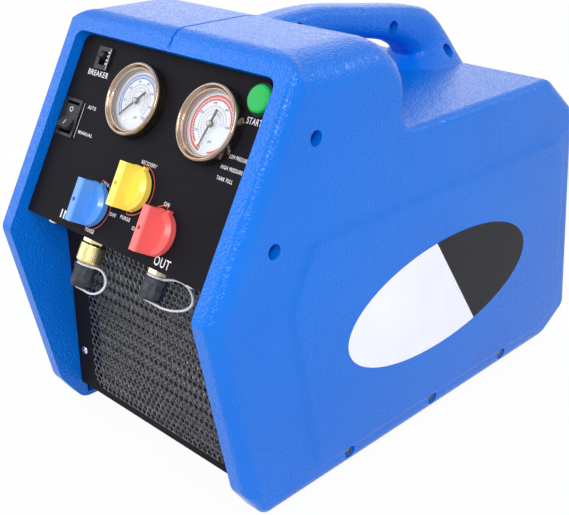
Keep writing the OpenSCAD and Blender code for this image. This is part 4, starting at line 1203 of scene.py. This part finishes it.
@dataclass
class Gauge:
    """One pressure gauge: case, printed dial, needle and window."""

    shop: Workshop
    side: str
    u: float
    zero: float
    sweep: float
    top: int
    steps: int
    ink: Finish
    solid_band: bool
    v: float = 133.0
    dial_h: float = -3.0
    radius: float = 24.4
    lift: float = 0.03
    figure_lift: float = 0.04
    hub_rise: float = 3.42
    hub_profile: Profile = ((2.4, 0.0), (2.4, 0.5), (2.1, 0.85), (1.3, 1.05), (0.4, 1.1))
    screw_profile: Profile = ((1.5, 0.0), (1.5, 0.4), (1.3, 0.6), (0.3, 0.62))
    screw_slot: Triple = (4.0, 0.4, 0.5)
    screw_at: tuple[float, float] = (-0.36, -0.66)
    limit_ring: tuple[float, float] = (0.83, 0.895)
    limit_ends: tuple[float, float] = (28.0, 52.0)
    rim: tuple[float, float] = (0.955, 0.985)
    figures_at: float = 0.65
    figure_height: float = 1.8
    unit_at: tuple[float, float] = (0.14, -0.5)
    unit_height: float = 2.4
    solid: Scale = Scale(((0.73, 0.785), (0.825, 0.90)), ((8, 0.78, 0.83, 0.8),))
    lines: Scale = Scale(((0.735, 0.768), (0.85, 0.883)), ((10, 0.765, 0.855, 0.6),))
    inner: Scale = Scale(
        ((0.56, 0.575), (0.45, 0.465), (0.34, 0.355)),
        ((10, 0.51, 0.56, 0.32), (8, 0.40, 0.45, 0.32), (6, 0.30, 0.34, 0.32)),
    )

    def build(self) -> None:
        """Rounds the case, prints the dial and dresses the needle."""
        side, shop = self.side, self.shop
        case, needle = f"gauge_case_{side}", f"gauge_needle_{side}"
        shop.dress(case, f"{case}_bezel", Finishes.BEZEL, "gauge_case", width=0.5, segments=3)
        shop.finish_node(f"gauge_dial_{side}", Finishes.DIAL)
        shop.finish_node(f"gauge_lens_{side}", Finishes.LENS)
        shop.dress(needle, f"{needle}_hand", Finishes.NEEDLE, "needle", width=0.12, segments=1)
        shop.seat(self.hub(), Finishes.HUB, shop.body_of(needle), "steel")
        scale = self.printed("scale", self.solid if self.solid_band else self.lines)
        shop.seat(scale, self.ink, MACHINE, "dial")
        if self.solid_band:
            shop.seat(self.limit(), Finishes.INK_RED, MACHINE, "dial")
        rim = self.ring("rim", self.rim, 0, 360)
        shop.seat(self.printed("inner", self.inner, rim), Finishes.INK_GREY, MACHINE, "dial")
        shop.seat(self.figures(), Finishes.INK_BLACK, MACHINE, "dial")
        shop.seat(self.setting_screw(), Finishes.BRASS, MACHINE, "brass")

    def dial(self, rise: float) -> Matrix:
        """Gives the place of what was made about the dial's middle."""
        return PANEL.matrix(self.u, self.v, self.dial_h + rise)

    def off(self, x: float, y: float) -> Matrix:
        """Gives a move off the dial's middle by shares of the radius."""
        return shift(x * self.radius, y * self.radius)

    def hub(self) -> Piece:
        """Models the domed cap over the needle's pin."""
        piece = turned(f"needle_hub_{self.side}", self.hub_profile, sides=32)
        smooth(piece)
        return moved(piece, self.dial(self.hub_rise))

    def setting_screw(self) -> Piece:
        """Models the small slotted screw that sets the needle's zero."""
        piece = turned(f"setting_screw_{self.side}", self.screw_profile, sides=24)
        slot = block("slot", self.screw_slot)
        cut(piece, moved(slot, shift(0, 0, self.screw_profile[2][1])))
        smooth(piece)
        return moved(piece, self.off(*self.screw_at), self.dial(self.lift))

    def ring(self, name: str, ends: Sequence[float], start: float, sweep: float) -> Piece:
        """Prints part of a ring between two shares of the dial's radius."""
        return band(name, ends[0] * self.radius, ends[1] * self.radius, start, sweep)

    def printed(self, name: str, scale: Scale, *more: Piece) -> Piece:
        """Prints a scale over the sweep.

        Args:
            name: What the print is.
            scale: Its rings and rows of marks.
            more: What is printed with it.

        Returns:
            The print, in place on the dial.
        """
        parts = list(more)
        parts += [self.ring("ring", ends, self.zero, self.sweep) for ends in scale.rings]
        for dense, inner, outer, width in scale.rows:
            mark = plate("mark", (outer - inner) * self.radius, width)
            moved(mark, self.off((inner + outer) / 2, 0))
            count = self.steps * dense
            turns = [self.zero - self.sweep * i / count for i in range(count + 1)]
            parts.append(copies("marks", mark, [turn_about("Z", turn) for turn in turns]))
        return moved(joined(f"dial_{name}_{self.side}", parts), self.dial(self.lift))

    def limit(self) -> Piece:
        """Prints the red stretch past the end of the scale."""
        skip, sweep = self.limit_ends
        name, start = f"dial_limit_{self.side}", self.zero - self.sweep - skip
        return moved(self.ring(name, self.limit_ring, start, sweep), self.dial(self.lift))

    def figures(self) -> Piece:
        """Prints the numbers inside the coloured scale, and the unit below the middle."""
        parts = [moved(words("unit", "psi", self.unit_height), self.off(*self.unit_at))]
        for i in range(self.steps + 1):
            turn = math.radians(self.zero - self.sweep * i / self.steps)
            text = str(round(self.top * i / self.steps))
            x, y = self.figures_at * math.cos(turn), self.figures_at * math.sin(turn)
            parts.append(moved(words("number", text, self.figure_height), self.off(x, y)))
        return moved(joined(f"dial_figures_{self.side}", parts), self.dial(self.figure_lift))


@dataclass
class Valve:
    """A bar knob on its stem, with the valve behind the panel."""

    shop: Workshop
    role: str
    finish: Finish
    slot: str
    rounding: float = 0.8

    def build(self) -> None:
        """Rounds the knob and finishes the rest."""
        grip = f"{self.role}_knob"
        self.shop.dress(grip, f"{grip}_grip", self.finish, self.slot, self.rounding, segments=3)
        self.shop.finish_node(f"{self.role}_stem", Finishes.STEEL)
        self.shop.finish_node(f"{self.role}_valve", Finishes.BRASS)


@dataclass
class Port:
    """A hose port with its tethered cap."""

    shop: Workshop
    role: str
    u: float
    end: float
    depth: float = 18.5
    eye_drop: float = 3.0
    strap_drop: float = 20.0

    def build(self) -> None:
        """Rounds the brass and the cap, and smooths the tether between them."""
        port, cap, tether = (f"{self.role}_{part}" for part in ("port", "cap", "tether"))
        self.shop.dress(port, f"{port}_brass", Finishes.BRASS, "brass", width=0.35)
        self.shop.dress(cap, f"{cap}_moulding", Finishes.CAP, "cap", width=0.7, segments=3)
        strap = self.shop.copy_of(tether, f"{tether}_strap")
        modified(strap, "SUBSURF", levels=1, render_levels=1)
        smooth(strap, angle=60)
        self.shop.paint(strap, Finishes.TETHER)
        self.shop.body_of(cap)
        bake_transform(strap)
        self.shop.declare(strap, "tether", tether)


@dataclass
class Filter:
    """The knurled brass filter under the inlet port."""

    shop: Workshop
    u: float = -35.0
    depth: float = 18.5
    low: float = -1.6
    high: float = 15.4
    radius: float = 10.5
    neck: float = 5.55
    nipple: float = 11.5
    nipple_edge: float = 1.0
    foot_edge: Profile = ((-2.0, 0.0), (-0.4, 1.4))
    head_edge: Profile = ((-0.3, -1.4), (-1.5, 0.0))
    skin: float = 0.01
    knurl_ends: tuple[float, float] = (2.2, 2.0)
    rings: int = 18
    teeth: int = 40
    tooth_sides: int = 4
    cut: float = 0.38

    def build(self) -> None:
        """Turns the barrel and cuts slanted grooves into it."""
        low, high, r, neck = self.low, self.high, self.radius, self.neck
        first, last = low + self.knurl_ends[0], high - self.knurl_ends[1]
        step = (last - first) / self.rings
        foot, edge = low - self.nipple, self.nipple_edge
        profile = [
            (neck - edge, foot), (neck, foot + edge), (neck, low),
            *((r + out, low + up) for out, up in self.foot_edge),
            *((r, first + step * i) for i in range(self.rings + 1)),
            *((r + out, high + up) for out, up in self.head_edge),
            (neck, high),
        ]
        piece = turned("inlet_filter_barrel", profile, self.teeth * self.tooth_sides)
        for vert in piece.data.vertices:
            if abs(vert.co.xy.length - r) < self.skin:
                turn = math.atan2(vert.co.y, vert.co.x) * self.teeth
                rise = (vert.co.z - first) / (step * self.tooth_sides) * math.tau
                vert.co.xy *= 1 - self.cut * (0.5 - 0.5 * math.cos(turn + rise)) / r
        smooth(piece, angle=60)
        moved(piece, turn_about("X", -90), PANEL.matrix(self.u, 0, -self.depth))
        self.shop.seat(piece, Finishes.BRASS, MACHINE, "brass", "inlet_filter")


@dataclass
class Switches:
    """Start button, power switch and breaker."""

    shop: Workshop
    rocker: tuple[float, float] = (-100.0, 104.0)
    rocker_tilt: float = 13.0
    rocker_rise: float = 3.26
    pivot_drop: float = 1.5
    mark_at: float = 6.0
    ring: tuple[float, float] = (1.5, 2.1)
    bar: tuple[float, float] = (0.7, 4.2)
    breaker: tuple[float, float] = (-81.5, 158.0)
    breaker_face: float = 2.44
    line: tuple[float, float, float] = (7.4, 0.45, 17.0)
    dash: tuple[float, float, float] = (5.8, 1.6, 1.3)
    dashes: tuple[float, ...] = (5.6, 2.4, -0.8, -4.0)
    mouldings: tuple[tuple[str, float], ...] = (
        ("start_bezel", 0.5), ("switch_frame", 0.5), ("switch_rocker", 0.5),
        ("breaker_body", 0.4), ("breaker_lever", 0.4),
    )

    def build(self) -> None:
        """Rounds each moulding and marks the rocker."""
        button = "start_button"
        name = f"{button}_moulding"
        self.shop.dress(button, name, Finishes.BUTTON, "button", width=0.6, segments=3)
        for node, width in self.mouldings:
            name, slot = f"{node}_moulding", "black_plastic"
            self.shop.dress(node, name, Finishes.SWITCH, slot, width, segments=3)
        marks = joined("rocker_marks", [self.mark(1), self.mark(-1)])
        self.shop.seat(marks, Finishes.INK_WHITE, self.shop.body_of("switch_rocker"), "panel")
        self.shop.seat(self.breaker_marks(), Finishes.INK_WHITE, MACHINE, "panel")

    def mark(self, way: int) -> Piece:
        """Prints the ring on the upper half of the rocker, or the bar on the lower.

        Args:
            way: 1 for the upper half, -1 for the lower.

        Returns:
            The mark, lying on the rocker's face.
        """
        mark = band("ring", *self.ring, 0, 360) if way > 0 else plate("bar", *self.bar)
        tilt = self.rocker_tilt
        rise = self.rocker_rise + self.mark_at * math.tan(math.radians(tilt))
        place = PANEL.matrix(*self.rocker, PANEL.face - self.pivot_drop) @ turn_about("X", -tilt)
        return moved(mark, turn_about("X", way * tilt), shift(0, way * self.mark_at, rise), place)

    def breaker_marks(self) -> Piece:
        """Prints a line and a column of dashes beside the breaker's lever."""
        u, v = self.breaker
        made = []
        for along, (across, width, length) in (
            (0.0, self.line),
            *((along, self.dash) for along in self.dashes),
        ):
            place = PANEL.matrix(u + across, v + along, PANEL.face + self.breaker_face)
            made.append(moved(plate("dash", width, length), place))
        return joined("breaker_marks", made)


@dataclass
class Inside:
    """What the housing holds, seen through the grille and the vents."""

    shop: Workshop
    surfaces: dict[str, Finish] = field(
        default_factory=lambda: {
            "condenser_fins": Finishes.FIN,
            "condenser_tubes": Finishes.COPPER,
            "fan": Finishes.FAN,
            "fan_shroud": Finishes.TRAY,
            "fan_motor": Finishes.IRON,
            "compressor": Finishes.CAST,
            "drive_motor": Finishes.IRON,
            "capacitor": Finishes.STEEL,
            "pressure_switch": Finishes.BRASS,
            "copper_lines": Finishes.COPPER,
            "power_inlet": Finishes.SWITCH,
        }
    )

    def build(self) -> None:
        """Gives each inner solid its surface."""
        for node, finish in self.surfaces.items():
            self.shop.finish_node(node, finish)


@dataclass(frozen=True)
class Lamp:
    """One soft studio lamp: its place, what it faces, its size and power."""

    name: str
    place: Triple
    target: Triple
    size: float
    power: float


@dataclass
class Studio:
    """Floor, lamps, world and camera."""

    camera_place: Triple = (0.57546, -0.63618, 0.51773)
    camera_tilt: float = 65.30
    camera_turn: float = 44.16
    camera_roll: float = 0.24
    lens: float = 62.005
    sensor: float = 36.0
    ambient: float = 0.55
    floor_size: float = 30.0
    floor_drop: float = 0.0002
    floor_colour: Triple = (0.9, 0.9, 0.9)
    floor_glow: float = 0.95
    white: Triple = (1.0, 1.0, 1.0)
    lamps: tuple[Lamp, ...] = (
        Lamp("key", (1.3, -0.9, 1.7), (0.0, 0.0, 0.15), 0.9, 12.0),
        Lamp("front", (0.95, -1.15, 1.0), (0.0, 0.0, 0.2), 0.25, 8.0),
        Lamp("fill", (-1.4, -1.3, 1.0), (0.0, -0.1, 0.15), 1.4, 14.0),
        Lamp("rear", (-1.15, 1.3, 1.15), (0.0, 0.0, 0.25), 1.5, 6.0),
        Lamp("edge", (0.95, 1.35, 1.3), (0.05, 0.0, 0.2), 0.4, 4.0),
    )

    def build(self) -> None:
        """Sets the stage."""
        bpy.context.scene.view_settings.view_transform = "Standard"
        self.floor()
        self.world()
        for lamp in self.lamps:
            self.hang(lamp)
        self.camera()

    def floor(self) -> None:
        """Lays a pale floor that keeps a soft shadow."""
        floor = plate("studio_floor", self.floor_size, self.floor_size)
        moved(floor, shift(0, 0, -self.floor_drop))
        made = bpy.data.materials.new("floor_white")
        made.use_nodes = True
        graph = Graph(made.node_tree)
        share = graph.calc("MULTIPLY", graph.looked_at(), self.floor_glow)
        paper = graph.add("ShaderNodeBsdfDiffuse", Color=self.floor_colour)
        glow = graph.add("ShaderNodeEmission", Color=self.white)
        graph.show("ShaderNodeOutputMaterial", share, paper, glow)
        floor.data.materials.append(made)
        floor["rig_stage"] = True

    def world(self) -> None:
        """Surrounds the machine with even light, white where it is seen."""
        world = bpy.data.worlds.new("studio")
        bpy.context.scene.world = world
        world.use_nodes = True
        graph = Graph(world.node_tree)
        sky = "ShaderNodeBackground"
        dim = graph.add(sky, Color=self.white, Strength=self.ambient)
        bright = graph.add(sky, Color=self.white, Strength=1.0)
        graph.show("ShaderNodeOutputWorld", graph.looked_at(), dim, bright)

    @staticmethod
    def hang(lamp: Lamp) -> None:
        """Hangs one lamp and faces it at its target."""
        data = bpy.data.lights.new(lamp.name, "AREA")
        data.size = lamp.size
        data.energy = lamp.power
        hung = bpy.data.objects.new(lamp.name, data)
        bpy.context.scene.collection.objects.link(hung)
        hung.location = lamp.place
        aim = Vector(lamp.target) - Vector(lamp.place)
        hung.rotation_euler = aim.to_track_quat("-Z", "Y").to_euler()

    def camera(self) -> None:
        """Stands the camera where the photograph was taken from."""
        data = bpy.data.cameras.new("camera")
        data.sensor_fit = "HORIZONTAL"
        data.sensor_width = self.sensor
        data.lens = self.lens
        camera = bpy.data.objects.new("camera", data)
        bpy.context.scene.collection.objects.link(camera)
        turn = turn_about("Z", self.camera_turn) @ turn_about("X", self.camera_tilt)
        turn = turn @ turn_about("Z", self.camera_roll)
        camera.matrix_world = shift(*self.camera_place) @ turn
        bpy.context.scene.camera = camera


def main() -> None:
    """Builds every sub-assembly in order, then the studio."""
    logging.basicConfig(level=logging.INFO, format="%(message)s")
    shop = Workshop()
    assemblies = [
        Housing(shop),
        BaseTray(shop),
        ControlPanel(shop),
        Grille(shop),
        Gauge(
            shop, "low", u=-23.0, zero=225.0, sweep=270.0, top=350, steps=7,
            ink=Finishes.INK_BLUE, solid_band=False,
        ),
        Gauge(
            shop, "high", u=63.0, zero=257.0, sweep=255.0, top=500, steps=5,
            ink=Finishes.INK_RED, solid_band=True,
        ),
        Valve(shop, "inlet", Finishes.KNOB_BLUE, "knob_blue"),
        Valve(shop, "mode", Finishes.KNOB_YELLOW, "knob_yellow"),
        Valve(shop, "outlet", Finishes.KNOB_RED, "knob_red"),
        Port(shop, "inlet", u=-35.0, end=-1.6),
        Port(shop, "outlet", u=46.0, end=14.5),
        Filter(shop),
        Switches(shop),
        Inside(shop),
        Studio(),
    ]
    for assembly in assemblies:
        assembly.build()


if __name__ == "__main__":
    main()
